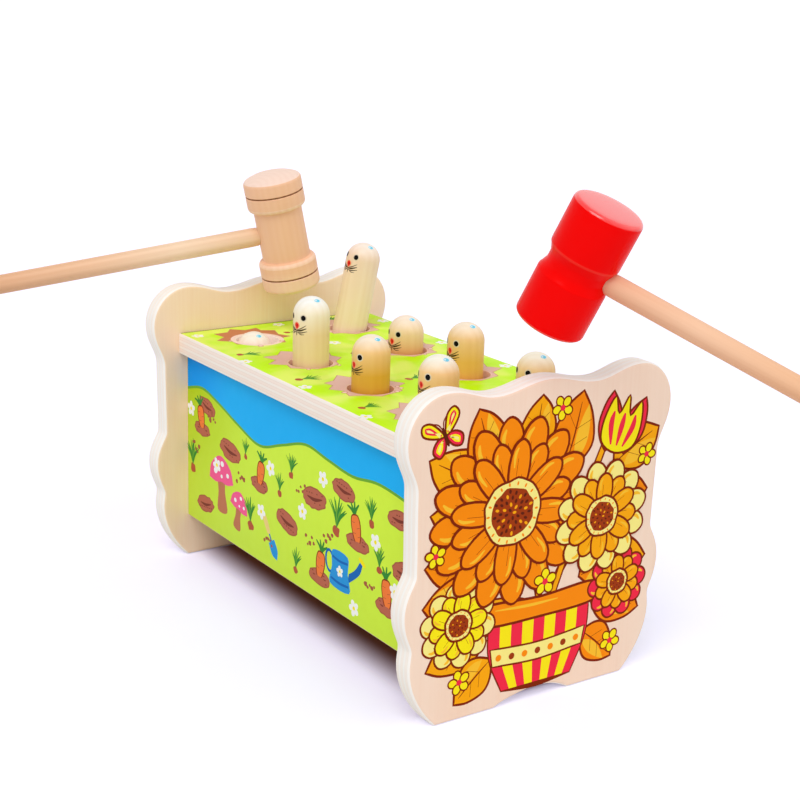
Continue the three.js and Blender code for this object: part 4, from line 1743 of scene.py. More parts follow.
@dataclass
class EndPanels:
    """The two wavy plywood end panels."""

    shop: Workshop
    thickness: float = 12.0
    edge_round: float = 2.0
    bore_depth: float = 7.3
    bore_height: float = 133.0
    weld: float = 0.02
    stations: tuple[Station, ...] = (
        Station(0, 0.996, (1, 0), 0.38, 0.38),
        Station(0.375, 0.968, (1, 0), 0.38, 0.36),
        Station(0.722, 1, (1, 0), 0.42, 0.39),
        Station(1, 0.864, (0, -1), 0.39, 0.45),
        Station(0.918, 0.72, (0, -1), 0.3, 0.3),
        Station(0.909, 0.477, (0, -1), 0.3, 0.16),
        Station(0.985, 0.362, (0, -1), 0.5, 0.5),
        Station(0.927, 0.25, (0, -1), 0.16, 0.25),
        Station(0.936, 0.2, (0, -1), 0.3, 0.42),
        Station(0.732, 0, (-0.75, -0.66), 0.18, 0),
        Station(0.29, 0, (-0.86, 0.5), 0, 0.3),
        Station(0, 0.034, (-1, 0), 0.5, 0),
    )

    def knots(self, width: float, height: float) -> list[tuple[Vector, Vector, Vector]]:
        """Works out the knots of the whole outline.

        Args:
            width, height: Size of the panel.

        Returns:
            Handle behind, point and handle ahead of each knot, once round.
        """
        right = [
            (Vector((s.across * width / 2, s.up * height)), Vector(s.heading).normalized(), s.back, s.ahead)
            for s in self.stations
        ]
        left = [(Vector((-p.x, p.y)), Vector((d.x, -d.y)), ahead, back) for p, d, back, ahead in right]
        ring = right + left[-2:0:-1]
        knots = []
        for index, (point, heading, back, ahead) in enumerate(ring):
            last, following = ring[index - 1][0], ring[(index + 1) % len(ring)][0]
            behind = point - heading * back * (point - last).length
            knots.append((behind, point, point + heading * ahead * (following - point).length))
        return knots

    def sawn(self, name: str, width: float, height: float) -> Piece:
        """Saws a flat face in the panel's outline.

        Args:
            name: Its name.
            width, height: Its size.

        Returns:
            The face, in millimetres.
        """
        curve = bpy.data.curves.new(name, "CURVE")
        curve.dimensions, curve.fill_mode, curve.resolution_u = "2D", "NONE", 11
        spline = curve.splines.new("BEZIER")
        knots = self.knots(width, height)
        spline.bezier_points.add(len(knots) - 1)
        for knot, (behind, point, beyond) in zip(spline.bezier_points, knots):
            knot.handle_left_type = knot.handle_right_type = "FREE"
            knot.co = (*point, 0)
            knot.handle_left, knot.handle_right = (*behind, 0), (*beyond, 0)
        spline.use_cyclic_u = True
        obj = shown(name, curve)
        choose(obj)
        bpy.ops.object.convert(target="MESH")
        with editing(obj):
            bpy.ops.mesh.remove_doubles(threshold=self.weld)
            bpy.ops.mesh.edge_face_add()
        return obj

    def panel(self, node: str, outward: int) -> Piece:
        """Cuts, thickens, rounds and bores one panel.

        Args:
            node: The node that it stands for.
            outward: Minus one for the front panel and one for the rear one.

        Returns:
            The panel at its place.
        """
        low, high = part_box(node)
        obj = self.sawn(f"{node}_board", (high.x - low.x) / MM, (high.z - low.z) / MM)
        with editing(obj):
            bpy.ops.mesh.extrude_region_move(TRANSFORM_OT_translate={"value": (0, 0, self.thickness)})
            bevel_edges(
                obj, lambda edge: abs(edge.verts[0].co.z - edge.verts[1].co.z) < self.edge_round, self.edge_round, 5,
            )
            face_out()
        foot = Vector(((low.x + high.x) / 2, low.y if outward > 0 else high.y, low.z))
        across, up = Vector((-outward, 0, 0)), Vector((0, 0, 1))
        settle(obj, standing(foot, across, up, across.cross(up)) @ Matrix.Scale(MM, 4))
        drill(obj, dowel_drills(Vector((foot.x, foot.y, self.bore_height * MM)), self.bore_depth))
        edges = PlyEdge(
            f"{node}_edge", Axis.Y, low.y, self.thickness * MM / PLIES,
            (255, 252, 246), (255, 246, 235), (244, 222, 203), 0.4,
        ).make()
        # The rear panel gets the birch with painted light.
        faces = self.shop.face if outward < 0 else self.shop.rear_face
        dress(obj, faces, edges, by_face=lambda face: 0 if abs(face.normal.y) > 0.8 else 1)
        smooth(obj, 35)
        return obj

    def build(self) -> None:
        """Makes both panels."""
        for node, outward in (("front_panel", -1), ("rear_panel", 1)):
            hand_in(self.panel(node, outward), "toy", "birch_ply", node)


@dataclass
class TopBoard:
    """The printed top board with its eight holes."""

    shop: Workshop
    hole_radius: float = 12.2
    pair_spacing: float = 63.0
    row_margin: float = 33.75
    edge_round: float = 0.9
    hole_round: float = 0.5
    bore_depth: float = 14.3

    def holes(self) -> list[Vector]:
        """Middles of the holes on the board's top face, nearest moles first in each row.

        Returns:
            Their places, in metres.
        """
        low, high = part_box("top_board")
        first, last = high.y - self.row_margin * MM, low.y + self.row_margin * MM
        places = []
        for row in range(4):
            for side in (-1, 1):
                x = (low.x + high.x) / 2 + side * self.pair_spacing * MM / 2
                places.append(Vector((x, first + (last - first) * row / 3, high.z)))
        return places

    def build(self) -> None:
        """Makes the board."""
        low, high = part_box("top_board")
        middle, depth, holes = (low + high) / 2, high.z - low.z, self.holes()
        obj = soft_block("top_board_panel", low, high, self.edge_round * MM, 3)
        rods = []
        for hole in holes:
            rods.append(rod_tool(Vector((hole.x, hole.y, middle.z)), Axis.Z, self.hole_radius * MM, 3 * depth, 64))
        for end in (low.y, high.y):
            rods += dowel_drills(Vector((middle.x, end, middle.z)), self.bore_depth)
        drill(obj, rods)
        self.round_holes(obj, high.z)
        edges = PlyEdge(
            "top_board_edge", Axis.Z, low.z, depth / PLIES, (255, 246, 235), (253, 236, 222), (226, 188, 168), 0.65,
        ).make()
        lawn = PrintInk("lawn_ground", (202, 255, 4), patch=(234, 255, 108)).make()
        burrow = WoodFace("burrow_wall", (252, 214, 200), (242, 200, 184), Axis.Z, 0.7).make()
        # The first hole's wall is painted paler than the others, a painted highlight where its wall is lit.
        burrow_painted_highlight = WoodFace("burrow_wall_painted_highlight", (255, 240, 232), (255, 232, 222), Axis.Z, 0.7).make()

        def finish_of(face: Face) -> int:
            """Print on top, bare ply below, soil in the holes, painted paler in the first as a painted highlight of its
            lit wall, and plies on the edges.

            Args:
                face: A face.

            Returns:
                The number of its finish.
            """
            if abs(face.normal.z) > 0.99:
                return 0 if face.normal.z > 0 else 2
            reaches = [(face.center.xy - hole.xy).length for hole in holes]
            if min(reaches) > (self.hole_radius + 1) * MM:
                return 1
            return 4 if reaches[0] == min(reaches) else 3

        dress(obj, lawn, edges, self.shop.plain_ply, burrow, burrow_painted_highlight, by_face=finish_of)
        smooth(obj, 35)
        hand_in(obj, "toy", "printed_board", "top_board")

    def round_holes(self, obj: Piece, top: float) -> None:
        """Takes the sharp edge off the top of each hole.

        Args:
            obj: The board.
            top: Height of its top face, in metres.
        """
        holes = self.holes()

        def on_rim(edge: Edge) -> bool:
            """Whether an edge lies on the top rim of a hole.

            Args:
                edge: The edge.

            Returns:
                Whether it does.
            """
            for vert in edge.verts:
                reach = min((vert.co.xy - hole.xy).length for hole in holes)
                if abs(vert.co.z - top) > 0.01 * MM or abs(reach - self.hole_radius * MM) > 0.1 * MM:
                    return False
            return edge.calc_face_angle(0) > 1

        with editing(obj):
            bevel_edges(obj, on_rim, self.hole_round * MM, 2)


@dataclass
class SideBoards:
    """The two thin printed side boards."""

    shop: Workshop
    edge_round: float = 0.5
    plies: int = 3

    def build(self) -> None:
        """Makes both boards."""
        for node, outward in (("left_side", -1), ("right_side", 1)):
            low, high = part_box(node)
            obj = soft_block(f"{node}_board", low, high, self.edge_round * MM, 2)
            edges = PlyEdge(
                f"{node}_edge", Axis.X, low.x, (high.x - low.x) / self.plies,
                (246, 224, 200), (234, 206, 178), (206, 168, 138),
            ).make()
            # The grass is painted darker and more olive towards this top corner, a painted shade, lightening within 100
            # mm: the rear end of the left board, the front end of the right one.
            corner = Vector((low.x, high.y, high.z) if outward < 0 else (high.x, low.y, high.z))
            meadow = PrintInk(f"{node}_meadow", (182, 212, 4), (216, 250, 72), corner, 0.1).make()

            def finish_of(face: Face, outward: int = outward) -> int:
                """Print outside, bare ply inside and plies on the edges.

                Args:
                    face, outward: A face, and which way is out.

                Returns:
                    The number of its finish.
                """
                if abs(face.normal.x) < 0.98:
                    return 1
                return 0 if face.normal.x * outward > 0 else 2

            dress(obj, meadow, edges, self.shop.plain_ply, by_face=finish_of)
            smooth(obj, 35)
            hand_in(obj, "toy", "printed_board", node)


@dataclass
class Underworks:
    """What is under the top board and stays as it was built, with its finishes."""

    shop: Workshop

    def build(self) -> None:
        """Gives the plain inner nodes their finishes."""
        woods = {"base_board": self.shop.plain_ply, "ridge_bar": self.shop.beech}
        for end in ("front", "rear"):
            for side in ("left", "right"):
                woods[f"{end}_{side}_block"] = woods[f"{end}_{side}_dowel"] = self.shop.beech
                woods[f"{end}_{side}_screw"] = self.shop.steel
        for row in range(1, 5):
            for column in ("a", "b"):
                woods[f"tack_{column}{row}"] = self.shop.steel
        for node, finish in woods.items():
            dress(frame["nodes"][node], finish)
            log.info("%s is dressed in %s", node, finish.name)


# Moles


@dataclass(frozen=True)
class MoleStand:
    """Where a mole stands: the middle of its dome in metres, its axis and its turn about it."""

    name: str
    dome: Vector
    axis: Vector
    turn: float

    def place(self) -> Matrix:
        """The place of a mole that was built upright about the middle of its dome."""
        turn = Vector((0, 0, 1)).rotation_difference(self.axis) @ Quaternion((0, 0, 1), math.radians(self.turn))
        return Matrix.Translation(self.dome) @ turn.to_matrix().to_4x4()


@dataclass
class Moles:
    """The eight turned moles. Turns, drops of the face and tones go by row, the near mole first. The tones hold painted
    light: near white on the lit top of the dome, more golden down the body as a painted shade with the lawn's yellow
    bounce.
    """

    radius: float = 10.0
    length: float = 71.4
    foot_radius: float = 13.0
    foot_thickness: float = 4.0
    foot_round: float = 0.6
    bore_radius: float = 1.2
    bore_depth: float = 9.0
    sides: int = 56
    face_heading: float = 180.0
    turns: tuple[float, ...] = (0, 4, 7, 3, -5, -4, -4, 2)
    drops: tuple[float, ...] = (0, -1.35, 0.9, -0.1, 0.9, 0.7, 0, -0.3)
    # Tones of each mole's dome top, cheeks and body: the pale wood's colour with painted light, near white at the lit
    # top and more golden lower down where shade and the lawn's yellow bounce fall.
    lit_top_tones: tuple[Colour, ...] = (
        (255, 246, 232), (255, 240, 226), (255, 255, 250), (255, 238, 218),
        (255, 240, 216), (255, 238, 214), (255, 253, 238), (255, 250, 230),
    )
    cheeks: tuple[Colour, ...] = (
        (255, 230, 208), (250, 224, 198), (255, 244, 218), (252, 220, 180),
        (252, 208, 142), (250, 208, 150), (255, 212, 150), (255, 220, 170),
    )
    bodies: tuple[Colour, ...] = (
        (250, 214, 190), (255, 230, 202), (246, 217, 166), (234, 176, 112),
        (230, 172, 60), (240, 184, 90), (240, 188, 104), (240, 192, 112),
    )

    def profile(self) -> Loop:
        """The mole's profile about the middle of its dome, from its bore up.

        Returns:
            Radius and height of each ring.
        """
        foot = -(self.length - self.radius)
        top = foot + self.foot_thickness
        edge = self.foot_radius - self.foot_round
        return [
            (self.bore_radius, foot + self.bore_depth),
            (self.bore_radius, foot),
            *arc(self.foot_round, (edge, foot + self.foot_round), -90, 0, 3),
            *arc(self.foot_round, (edge, top - self.foot_round), 0, 90, 3),
            (self.radius + 0.4, top),
            (self.radius, top + 0.4),
            (self.radius, -8.0),
            *arc(self.radius, (0, 0), 0, 87, 14),
        ]

    def stands(self) -> list[MoleStand]:
        """Works out where each mole stands from the frame.

        Returns:
            The stands, row by row.
        """
        axes = {joint["child"]: joint["axis"] for joint in frame["joints"]}
        names = [f"mole_{column}{row}" for row in range(1, 5) for column in ("a", "b")]
        stands = []
        for name, turn in zip(names, self.turns):
            axis = Vector(axes[name]).normalized()
            tip = max((vert.co for vert in frame["nodes"][name].data.vertices), key=axis.dot)
            stands.append(MoleStand(name, tip - axis * (self.radius * MM), axis, self.face_heading + turn))
        return stands

    def build(self) -> None:
        """Turns one mole, copies it and paints the faces."""
        pattern = turned("mole_pattern", self.profile(), self.sides)
        smooth(pattern, 40)
        painter = FacePainter(self.radius)
        for index, stand in enumerate(self.stands()):
            obj = twin(pattern, f"{stand.name}_body")
            settle(obj, stand.place())
            top, cheek, body = self.lit_top_tones[index], self.cheeks[index], self.bodies[index]
            # Painted light: the wood's tone runs from the body tone up through the cheek tone to the lit top tone.
            wood = TurnedWood(
                f"{stand.name}_wood", (255, 255, 255), (251, 248, 243), stand.place(), 0.44,
                pith_offset=9 + index, bands=((-20, body), (-10, body), (2.6, cheek), (8.4, top)),
            )
            dress(obj, wood.make())
            hand_in(obj, stand.name, "mole_wood", stand.name)
            for part in (painter.face(stand, self.drops[index]), painter.crown(stand)):
                hand_in(part, stand.name, None)
        bpy.data.objects.remove(pattern)


class FaceInk(Enum):
    """The paints of a mole's face, as screen colours."""

    RIM = (232, 214, 190)
    BLACK = (6, 4, 4)
    NOSE_EDGE = (250, 168, 130)
    NOSE = (244, 52, 40)
    NOSE_CORE = (196, 22, 20)
    WHISKER = (74, 58, 34)
    CROWN = (120, 214, 240)
    # GLINT is the white of a painted highlight.
    GLINT = (236, 248, 252)


@dataclass
class FacePainter:
    """Paints the same small face on each mole, as thin patches that follow its surface.

    A patch is drawn flat: how far it lies round the mole from the middle of the face, and how high
    over the foot of the dome. Its layer says how many coats lie under it.
    """

    radius: float
    eye_turn: float = 25.5
    eye_height: float = 0.6
    nose_height: float = -4.1
    mouth_height: float = -6.9
    coat: float = 0.02
    sunk: float = 0.05
    whiskers: tuple[tuple[Loop, float], ...] = (
        ([(0.3, 0.2), (2.6, 0.4), (6.3, 1.9)], 0.95),
        ([(0.4, -0.6), (2.8, -0.8), (6.7, 0.3)], 0.6),
        ([(0.4, 0.6), (3.0, 1.6), (6.1, 3.6)], 0.5),
        ([(1.4, -1.1), (3.0, -1.7), (5.2, -1.5)], 0.4),
    )
    inks: dict[FaceInk, Finish] = field(default_factory=dict)

    def __post_init__(self) -> None:
        """Mixes the paints."""
        for ink in FaceInk:
            self.inks[ink] = PrintInk(f"face_{ink.name.lower()}", ink.value, gloss=0.1).make()

    def on_surface(self, place: Point, lift: float) -> Vector:
        """A point over the mole's surface, about the middle of its dome.

        Args:
            place: Its place on the flat drawing.
            lift: Distance out from the surface.

        Returns:
            The point, in metres.
        """
        angle, up = place[0] / self.radius, max(place[1], 0.0)
        ring = math.sqrt(max(self.radius**2 - up**2, 0.0))
        out = Vector((ring * math.cos(angle), ring * math.sin(angle), up)) / self.radius
        return (out * (self.radius + lift) + Vector((0, 0, min(place[1], 0.0)))) * MM

    def laid(self, obj: Piece, ink: FaceInk, layer: int, place_of: Callable[[Vector], Point]) -> Piece:
        """Thickens a flat patch and lays it on the surface.

        Args:
            obj: The flat patch.
            ink, layer: Its paint and its layer.
            place_of: Gives the place of each of its points on the flat drawing.

        Returns:
            The patch.
        """
        with editing(obj):
            bpy.ops.mesh.extrude_region_move(TRANSFORM_OT_translate={"value": (0, 0, 1)})
            face_out()
        for vert in obj.data.vertices:
            lift = (layer + 1) * self.coat if vert.co.z > 0.5 else -self.sunk
            vert.co = self.on_surface(place_of(vert.co), lift)
        dress(obj, self.inks[ink])
        return obj

    def spot(self, ink: FaceInk, layer: int, centre: Point, width: float, height: float, point: float = 0.0) -> Piece:
        """Paints an oval patch.

        Args:
            ink, layer: Its paint and its layer.
            centre, width, height: Its middle and its full size.
            point: How much narrower it gets towards its lower end.

        Returns:
            The patch.
        """
        deselect_all()
        bpy.ops.mesh.primitive_circle_add(vertices=20, radius=1, fill_type="TRIFAN")
        obj = christen("face_spot")
        with editing(obj):
            bpy.ops.mesh.subdivide(number_cuts=2)

        def place_of(at: Vector) -> Point:
            """The place of a point of the unit circle."""
            narrow = 1 - point * max(0.0, -at.y)
            return (centre[0] + at.x * narrow * width / 2, centre[1] + at.y * height / 2)

        return self.laid(obj, ink, layer, place_of)

    def brush(self, points: Sequence[Point], width: float, layer: int) -> Piece:
        """Paints a thin stroke.

        Args:
            points: Points that it goes through.
            width, layer: Its width in the middle and its layer.

        Returns:
            The stroke.
        """
        edge = stroke(points, width, 0.35, 3)
        half = len(edge) // 2
        deselect_all()
        bpy.ops.mesh.primitive_grid_add(x_subdivisions=half - 1, y_subdivisions=1, size=2)
        obj = christen("face_stroke")

        def place_of(at: Vector) -> Point:
            """The place of a point of the grid, which runs from -1 to 1."""
            index = round((at.x + 1) / 2 * (half - 1))
            return edge[index] if at.y < 0 else edge[-1 - index]

        return self.laid(obj, FaceInk.WHISKER, layer, place_of)

    def joined(self, name: str, parts: Sequence[Piece], place: Matrix) -> Piece:
        """Joins patches into one piece.

        Args:
            name, place: Its name and its place.
            parts: The patches.

        Returns:
            The piece at its place.
        """
        choose(*parts)
        bpy.ops.object.join()
        obj = christen(name)
        settle(obj, place)
        return obj

    def face(self, stand: MoleStand, drop: float) -> Piece:
        """Paints one face.

        Args:
            stand: Where the mole stands.
            drop: How far the face sits under its usual place.

        Returns:
            The painted face at its place.
        """
        mouth = self.mouth_height - drop
        parts = []
        for side in (-1, 1):
            eye = (side * math.radians(self.eye_turn) * self.radius, self.eye_height - drop)
            parts.append(self.spot(FaceInk.RIM, 0, eye, 4.0, 4.0))
            parts.append(self.spot(FaceInk.BLACK, 1, eye, 2.9, 2.9))
            for points, width in self.whiskers:
                parts.append(self.brush([(side * u, mouth + v) for u, v in points], width, 1))
        parts.append(self.brush([(0, mouth + 1.0), (0.1, mouth - 0.8), (0, mouth - 2.6)], 0.7, 0))
        nose = self.nose_height - drop
        parts.append(self.spot(FaceInk.NOSE_EDGE, 0, (0, nose), 4.3, 4.4, 0.45))
        parts.append(self.spot(FaceInk.NOSE, 1, (0, nose), 3.1, 3.4, 0.45))
        parts.append(self.spot(FaceInk.NOSE_CORE, 2, (0.3, nose + 0.2), 1.3, 1.6, 0.4))
        return self.joined(f"{stand.name}_face", parts, stand.place())

    def crown(self, stand: MoleStand) -> Piece:
        """Paints the small blue mark beside the top of the head, which faces the front of the bench.

        Args:
            stand: Where the mole stands.

        Returns:
            The mark with its white glint, at its place.
        """
        parts = [
            # The white glint spots are a painted highlight on the blue mark.
            self.spot(FaceInk.GLINT, 0, (0.5, 0.3), 4.0, 3.0),
            self.spot(FaceInk.CROWN, 1, (0.2, 0.0), 3.2, 2.3, 0.3),
            self.spot(FaceInk.GLINT, 2, (-0.5, 0.2), 1.1, 0.8),
        ]
        tip = Matrix.Rotation(math.radians(-58), 4, "Y")
        to_front = Matrix.Rotation(math.radians(-90 - stand.turn), 4, "Z")
        return self.joined(f"{stand.name}_crown_mark", parts, stand.place() @ to_front @ tip)


# Straps under the board


@dataclass
class PairStraps:
    """The cotton straps over the ridge bar. Each is two halves that meet on top of the bar."""

    shop: Workshop
    thickness: float = 1.0
    width: float = 8.0
    gap: float = 0.3
    to_foot: float = 1.1
    over_tack: float = 3.5
    tack_to_foot: float = 3.8
    foot_radius: float = 13.0
    ridge_round: float = 3.0
    foot_bend: float = 1.6

    def path(self, foot: Vector, side: int) -> list[Vector]:
        """Middle line of one half, from the middle of the ridge bar to past the tack.

        Args:
            foot: Middle of the underside of the mole's foot, in metres.
            side: Minus one for the near mole and one for the far one.

        Returns:
            Its points, in metres.
        """
        low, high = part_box("ridge_bar")
        middle = (low.x + high.x) / 2
        beside = (self.gap + self.thickness / 2) * MM
        over, under = high.z + beside, foot.z - (self.to_foot + self.thickness / 2) * MM
        out = abs(foot.x - middle)
        corners = [
            (Vector((0, over)), 0.0),
            (Vector(((high.x - low.x) / 2 + beside, over)), self.ridge_round * MM + beside),
            (Vector((out - self.foot_radius * MM - beside, under)), self.foot_bend * MM),
            (Vector((out + self.over_tack * MM, under)), 0.0),
        ]
        line = [corners[0][0]]
        for (last, _), (corner, bend), (following, _) in zip(corners, corners[1:], corners[2:]):
            before, after = last - corner, following - corner
            reach = min(bend, before.length / 2, after.length / 2)
            enter, leave = corner + before.normalized() * reach, corner + after.normalized() * reach
            start = line[-1]
            line += [start.lerp(enter, step / 8) for step in range(1, 9)]
            for share in (step / 6 for step in range(1, 7)):
                line.append(enter.lerp(corner, share).lerp(corner.lerp(leave, share), share))
        start = line[-1]
        line += [start.lerp(corners[-1][0], step / 8) for step in range(1, 9)]
        return [Vector((middle + side * point.x, foot.y, point.y)) for point in line]

    def half(self, name: str, foot: Vector, side: int) -> Piece:
        """Weaves one half: a ribbon drawn edge by edge along its path, then given its thickness.

        Args:
            name: Its name.
            foot, side: As for its path.

        Returns:
            The half at its place.
        """
        line = self.path(foot, side)
        half_width = self.width * MM / 2
        deselect_all()
        bpy.ops.mesh.primitive_plane_add(size=1)
        obj = christen(name)
        with editing(obj):
            bpy.ops.mesh.delete(type="ONLY_FACE")
            mesh = bmesh.from_edit_mesh(obj.data)
            doomed = [vert for vert in mesh.verts if vert.co.x > 0]
            bmesh.ops.delete(mesh, geom=doomed, context="VERTS")
            for vert in mesh.verts:
                vert.co = line[0] + Vector((0, math.copysign(half_width, vert.co.y), 0))
            bmesh.update_edit_mesh(obj.data)
            bpy.ops.mesh.select_all(action="SELECT")
            for start, end in zip(line, line[1:]):
                bpy.ops.mesh.extrude_region_move(TRANSFORM_OT_translate={"value": end - start})
        apply_modifier(obj, "SOLIDIFY", thickness=self.thickness * MM, offset=0)
        with editing(obj):
            face_out()
        dress(obj, self.shop.tape)
        smooth(obj, 50)
        return obj

    def build(self) -> None:
        """Makes the two halves of each of the four straps."""
        for row in range(1, 5):
            low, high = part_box(f"strap_{row}")
            for column, side, word in (("a", -1, "near"), ("b", 1, "far")):
                tack_low, tack_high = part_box(f"tack_{column}{row}")
                foot_z = tack_low.z + self.tack_to_foot * MM
                foot = Vector(((tack_low.x + tack_high.x) / 2, (low.y + high.y) / 2, foot_z))
                obj = self.half(f"strap_{row}_{word}", foot, side)
                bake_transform(obj)
                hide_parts(f"strap_{row}")


# Hammers


@dataclass
class Hammer:
    """A small hammer with a turned head and a round handle let into it."""

    name: str
    head_way: Vector
    handle_way: Vector
    radius: float
    length: float
    waist_radius: float
    end_round: float
    handle_radius: float = 5.5
    handle_start: float = 3.0
    handle_end: float = 172.8
    neck_radius: float = 5.0
    neck_length: float = 4.0
    tail_round: float = 3.0
    crown: float = 0.3
    sides: int = 72
    handle_bands: tuple[tuple[float, Colour], ...] = (
        (15, (240, 184, 148)), (60, (247, 199, 163)), (120, (241, 187, 144)), (173, (234, 177, 130)),
    )

    def place(self) -> Matrix:
        """The place of the head, with Z along it and X along the handle.

        Returns:
            The place.
        """
        low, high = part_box(f"{self.name}_head")
        axis = self.head_way.normalized()
        across = axis.cross(self.handle_way).normalized()
        return standing((low + high) / 2, across.cross(axis), across, axis)

    def lower_end(self) -> Loop:
        """The lower end of the head, with its rounded edge.

        Returns:
            Radius and height of each ring.
        """
        half = self.length / 2
        crown = [(self.radius * share, -half - self.crown * (1 - share * share)) for share in (0.2, 0.45, 0.7)]
        return [*crown, *arc(self.end_round, (self.radius - self.end_round, self.end_round - half), -90, 0, 5)]

    def lower_half(self) -> Loop:
        """The profile of the lower half of the head."""
        raise NotImplementedError

    def finish_head(self, obj: Piece) -> None:
        """Gives the head its finish, while it still stands upright at the origin."""
        raise NotImplementedError

    def head(self) -> Piece:
        """Turns the head and drills the socket for the handle.

        Returns:
            The head, upright at the origin.
        """
        lower = self.lower_half()
        profile = lower + [(radius, -height) for radius, height in reversed(lower)]
        obj = turned(f"{self.name}_head_turned", profile, self.sides)
        depth, reach = (self.handle_start - 0.3) * MM, (self.radius + 2) * MM
        centre = Vector(((depth + reach) / 2, 0, 0))
        drill(obj, [rod_tool(centre, Axis.X, (self.neck_radius + 0.2) * MM, reach - depth, 40)])
        self.finish_head(obj)
        smooth(obj, 28)
        return obj

    def handle(self) -> Piece:
        """Turns the handle, with its neck in the head and a rounded tail.

        Returns:
            The handle, upright at the origin.
        """
        shoulder = self.waist_radius + self.neck_length
        shaft = [(self.handle_radius, shoulder + (self.handle_end - shoulder) * step / 8) for step in range(8)]
        centre = (self.handle_radius - self.tail_round, self.handle_end - self.tail_round)
        profile = [
            (self.neck_radius * 0.6, self.handle_start),
            (self.neck_radius, self.handle_start),
            (self.neck_radius, self.waist_radius),
            (self.handle_radius - 0.15, self.waist_radius + 0.8),
            *shaft,
            *arc(self.tail_round, centre, 0, 90, 5),
        ]
        return turned(f"{self.name}_handle_turned", profile, 36)

    def build(self, slot: str) -> None:
        """Makes the head and the handle.

        Args:
            slot: Material slot of the head.
        """
        head = self.head()
        settle(head, self.place())
        hand_in(head, self.name, slot, f"{self.name}_head")
        handle, place = self.handle(), self.place() @ Matrix.Rotation(math.pi / 2, 4, "Y")
        settle(handle, place)
        beech, white, pale = f"{self.name}_handle_beech", (255, 255, 255), (248, 243, 238)
        dress(handle, TurnedWood(beech, white, pale, place, 0.45, bands=self.handle_bands).make())
        smooth(handle, 35)
        hand_in(handle, self.name, "beech", f"{self.name}_handle")


@dataclass
class WoodHammer(Hammer):
    """The plain hammer: capped ends, burnt grooves and a straight waist."""

    cap_length: float = 8.35
    groove_width: float = 0.9
    groove_depth: float = 0.7
    band_length: float = 6.6
    shoulder_length: float = 2.7

    def marks(self) -> tuple[float, float, float]:
        """Heights where the groove, the band after it and the shoulder begin, in the lower half."""
        groove = self.cap_length - self.length / 2
        return (groove, groove + self.groove_width, groove + self.groove_width + self.band_length)

    def lower_half(self) -> Loop:
        """The profile of the lower half of the head.

        Returns:
            Radius and height of each ring.
        """
        groove, band, shoulder = self.marks()
        waist, drop = shoulder + self.shoulder_length, self.radius - self.waist_radius
        angles = [math.radians(18 * step) for step in range(6)]
        return [
            *self.lower_end(),
            (self.radius, groove - 0.25),
            (self.radius - 0.2, groove),
            (self.radius - self.groove_depth, groove + self.groove_width / 2),
            (self.radius - 0.2, band),
            (self.radius, band + 0.25),
            *[around((self.waist_radius, shoulder), angle, drop, self.shoulder_length) for angle in angles],
            (self.waist_radius - 0.15, waist + 0.5),
            (self.waist_radius, waist + 1.4),
            (self.waist_radius, waist / 2),
        ]

    def finish_head(self, obj: Piece) -> None:
        """Gives the head pale beech with painted light on its lower cap, paler ends, a painted highlight on its
        shoulders, and burnt grooves.

        Args:
            obj: The head.
        """
        # Painted light: the lower cap is painted whiter than the rest of the head.
        bands = ((-34, (255, 255, 255)), (-25, (253, 247, 240)), (-20, (248, 233, 214)), (34, (248, 233, 214)))
        woods = (
            ("hammer_head_beech", (255, 216, 190), (253, 212, 184), 0.42, bands),
            ("hammer_groove_burnt", (176, 122, 84), (150, 98, 64), 0.6, ()),
            ("hammer_end_beech", (253, 222, 204), (250, 217, 198), 0.5, ()),
            # The shoulders' paler beech is a painted highlight on their rounded edges.
            ("hammer_shoulder_highlight", (255, 214, 184), (251, 205, 172), 0.5, ()),
        )
        finishes = [
            TurnedWood(name, pale, streak, self.place(), roughness, bands=tones).make()
            for name, pale, streak, roughness, tones in woods
        ]
        groove, band, shoulder = self.marks()

        def finish_of(face: Face) -> int:
            """Burnt in the grooves, pale on the ends, a painted highlight on the shoulders and plain elsewhere.

            Args:
                face: A face.

            Returns:
                The number of its finish.
            """
            height, reach = -abs(face.center.z / MM), face.center.xy.length / MM
            if height < self.end_round / 2 - self.length / 2 and reach < self.radius:
                return 2
            if shoulder < height < shoulder + 0.8 * self.shoulder_length:
                return 3
            in_groove = groove - 0.01 < height < band + 0.01
            return 1 if in_groove and reach > self.radius - 2 * self.groove_depth else 0

        dress(obj, *finishes, by_face=finish_of)


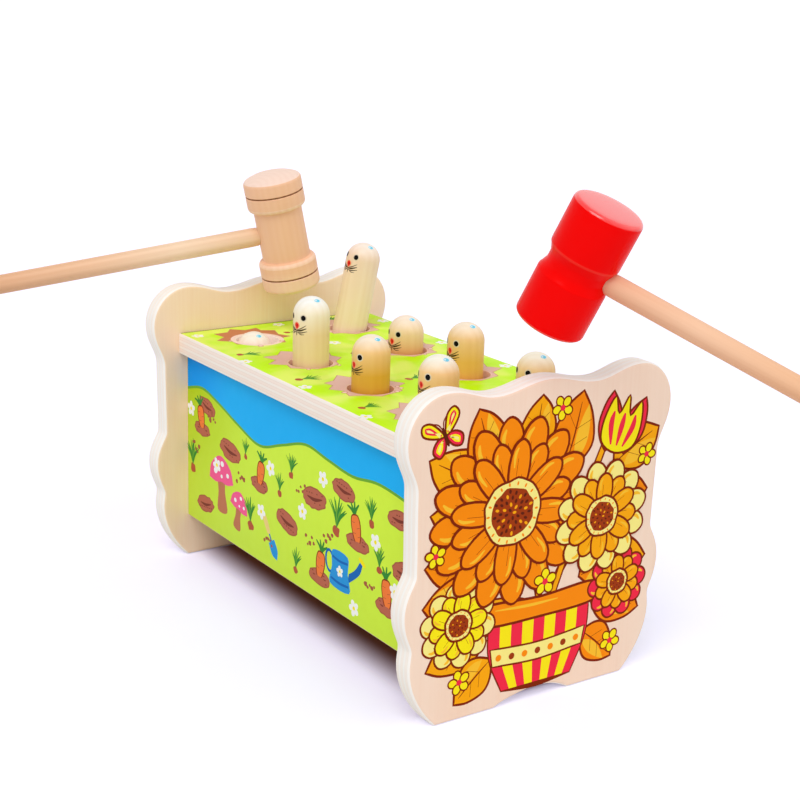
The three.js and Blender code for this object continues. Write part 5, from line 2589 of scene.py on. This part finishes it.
@dataclass
class RedHammer(Hammer):
    """The painted hammer: two barrels joined by a narrow waist."""

    barrel_length: float = 25.25
    waist_length: float = 4.0

    def lower_half(self) -> Loop:
        """The profile of the lower half of the head.

        Returns:
            Radius and height of each ring.
        """
        shoulder, waist = self.barrel_length - self.length / 2, -self.waist_length / 2
        drop = self.radius - self.waist_radius
        return [
            *self.lower_end(),
            (self.radius, shoulder - 1.2),
            (self.radius - 0.15, shoulder - 0.4),
            (self.radius - 0.6, shoulder + 0.3),
            (self.radius - drop * 0.9, waist - 0.6),
            (self.waist_radius, waist + 0.3),
            (self.waist_radius, waist / 2),
        ]

    def finish_head(self, obj: Piece) -> None:
        """Paints the head, thicker and glossier on its ends, and a little glossier and painted lighter red as a painted
        highlight where its upper barrel narrows.

        Args:
            obj: The head.
        """
        body = GlossPaint("red_paint_body", (255, 3, 2), (248, 1, 1), 0.05, 0.0).make()
        ends = GlossPaint("red_paint_ends", (255, 22, 20), (246, 8, 8), 0.5, 0.8).make()
        # ridge is a painted highlight: a lighter red on the rounded edge where the upper barrel narrows, left off the
        # lower barrel.
        ridge = GlossPaint("red_paint_highlight", (255, 40, 28), (252, 28, 18), 0.1, 0.0).make()
        shoulder = self.barrel_length - self.length / 2

        def finish_of(face: Face) -> int:
            """Glossy on the ends, a lighter red painted highlight where the upper barrel narrows and plain elsewhere.

            Args:
                face: A face.

            Returns:
                The number of its finish.
            """
            height = -abs(face.center.z / MM)
            if height < self.end_round * 0.6 - self.length / 2:
                return 1
            return 2 if face.center.z > 0 and shoulder - 1.2 < height < shoulder + 0.3 else 0

        dress(obj, body, ends, ridge, by_face=finish_of)


def main() -> None:
    """Builds the studio and every piece of the toy."""
    logging.basicConfig(level=logging.INFO, format="%(name)s: %(message)s")
    Studio().build()
    shop = Workshop.stocked()
    EndPanels(shop).build()
    board = TopBoard(shop)
    board.build()
    SideBoards(shop).build()
    Underworks(shop).build()
    shelf = InkShelf()
    FrontPicture(shelf).build()
    MeadowPicture(shelf).build()
    LawnPicture(shelf, board).build()
    Moles().build()
    PairStraps(shop).build()
    WoodHammer(
        "wood_hammer", Vector((-0.228, -0.008, 0.974)), Vector((-0.865, 0.465, -0.188)),
        radius=16.85, length=67.1, waist_radius=14.0, end_round=2.6, crown=2.3,
        handle_bands=((15, (246, 206, 168)), (60, (251, 219, 186)), (110, (242, 196, 158)), (173, (230, 176, 136))),
    ).build("beech")
    RedHammer(
        "red_hammer", Vector((0.192, -0.382, 0.904)), Vector((0.588, -0.693, -0.418)),
        radius=17.2, length=62.4, waist_radius=15.1, end_round=2.2,
    ).build("red_paint")


if __name__ == "__main__":
    main()
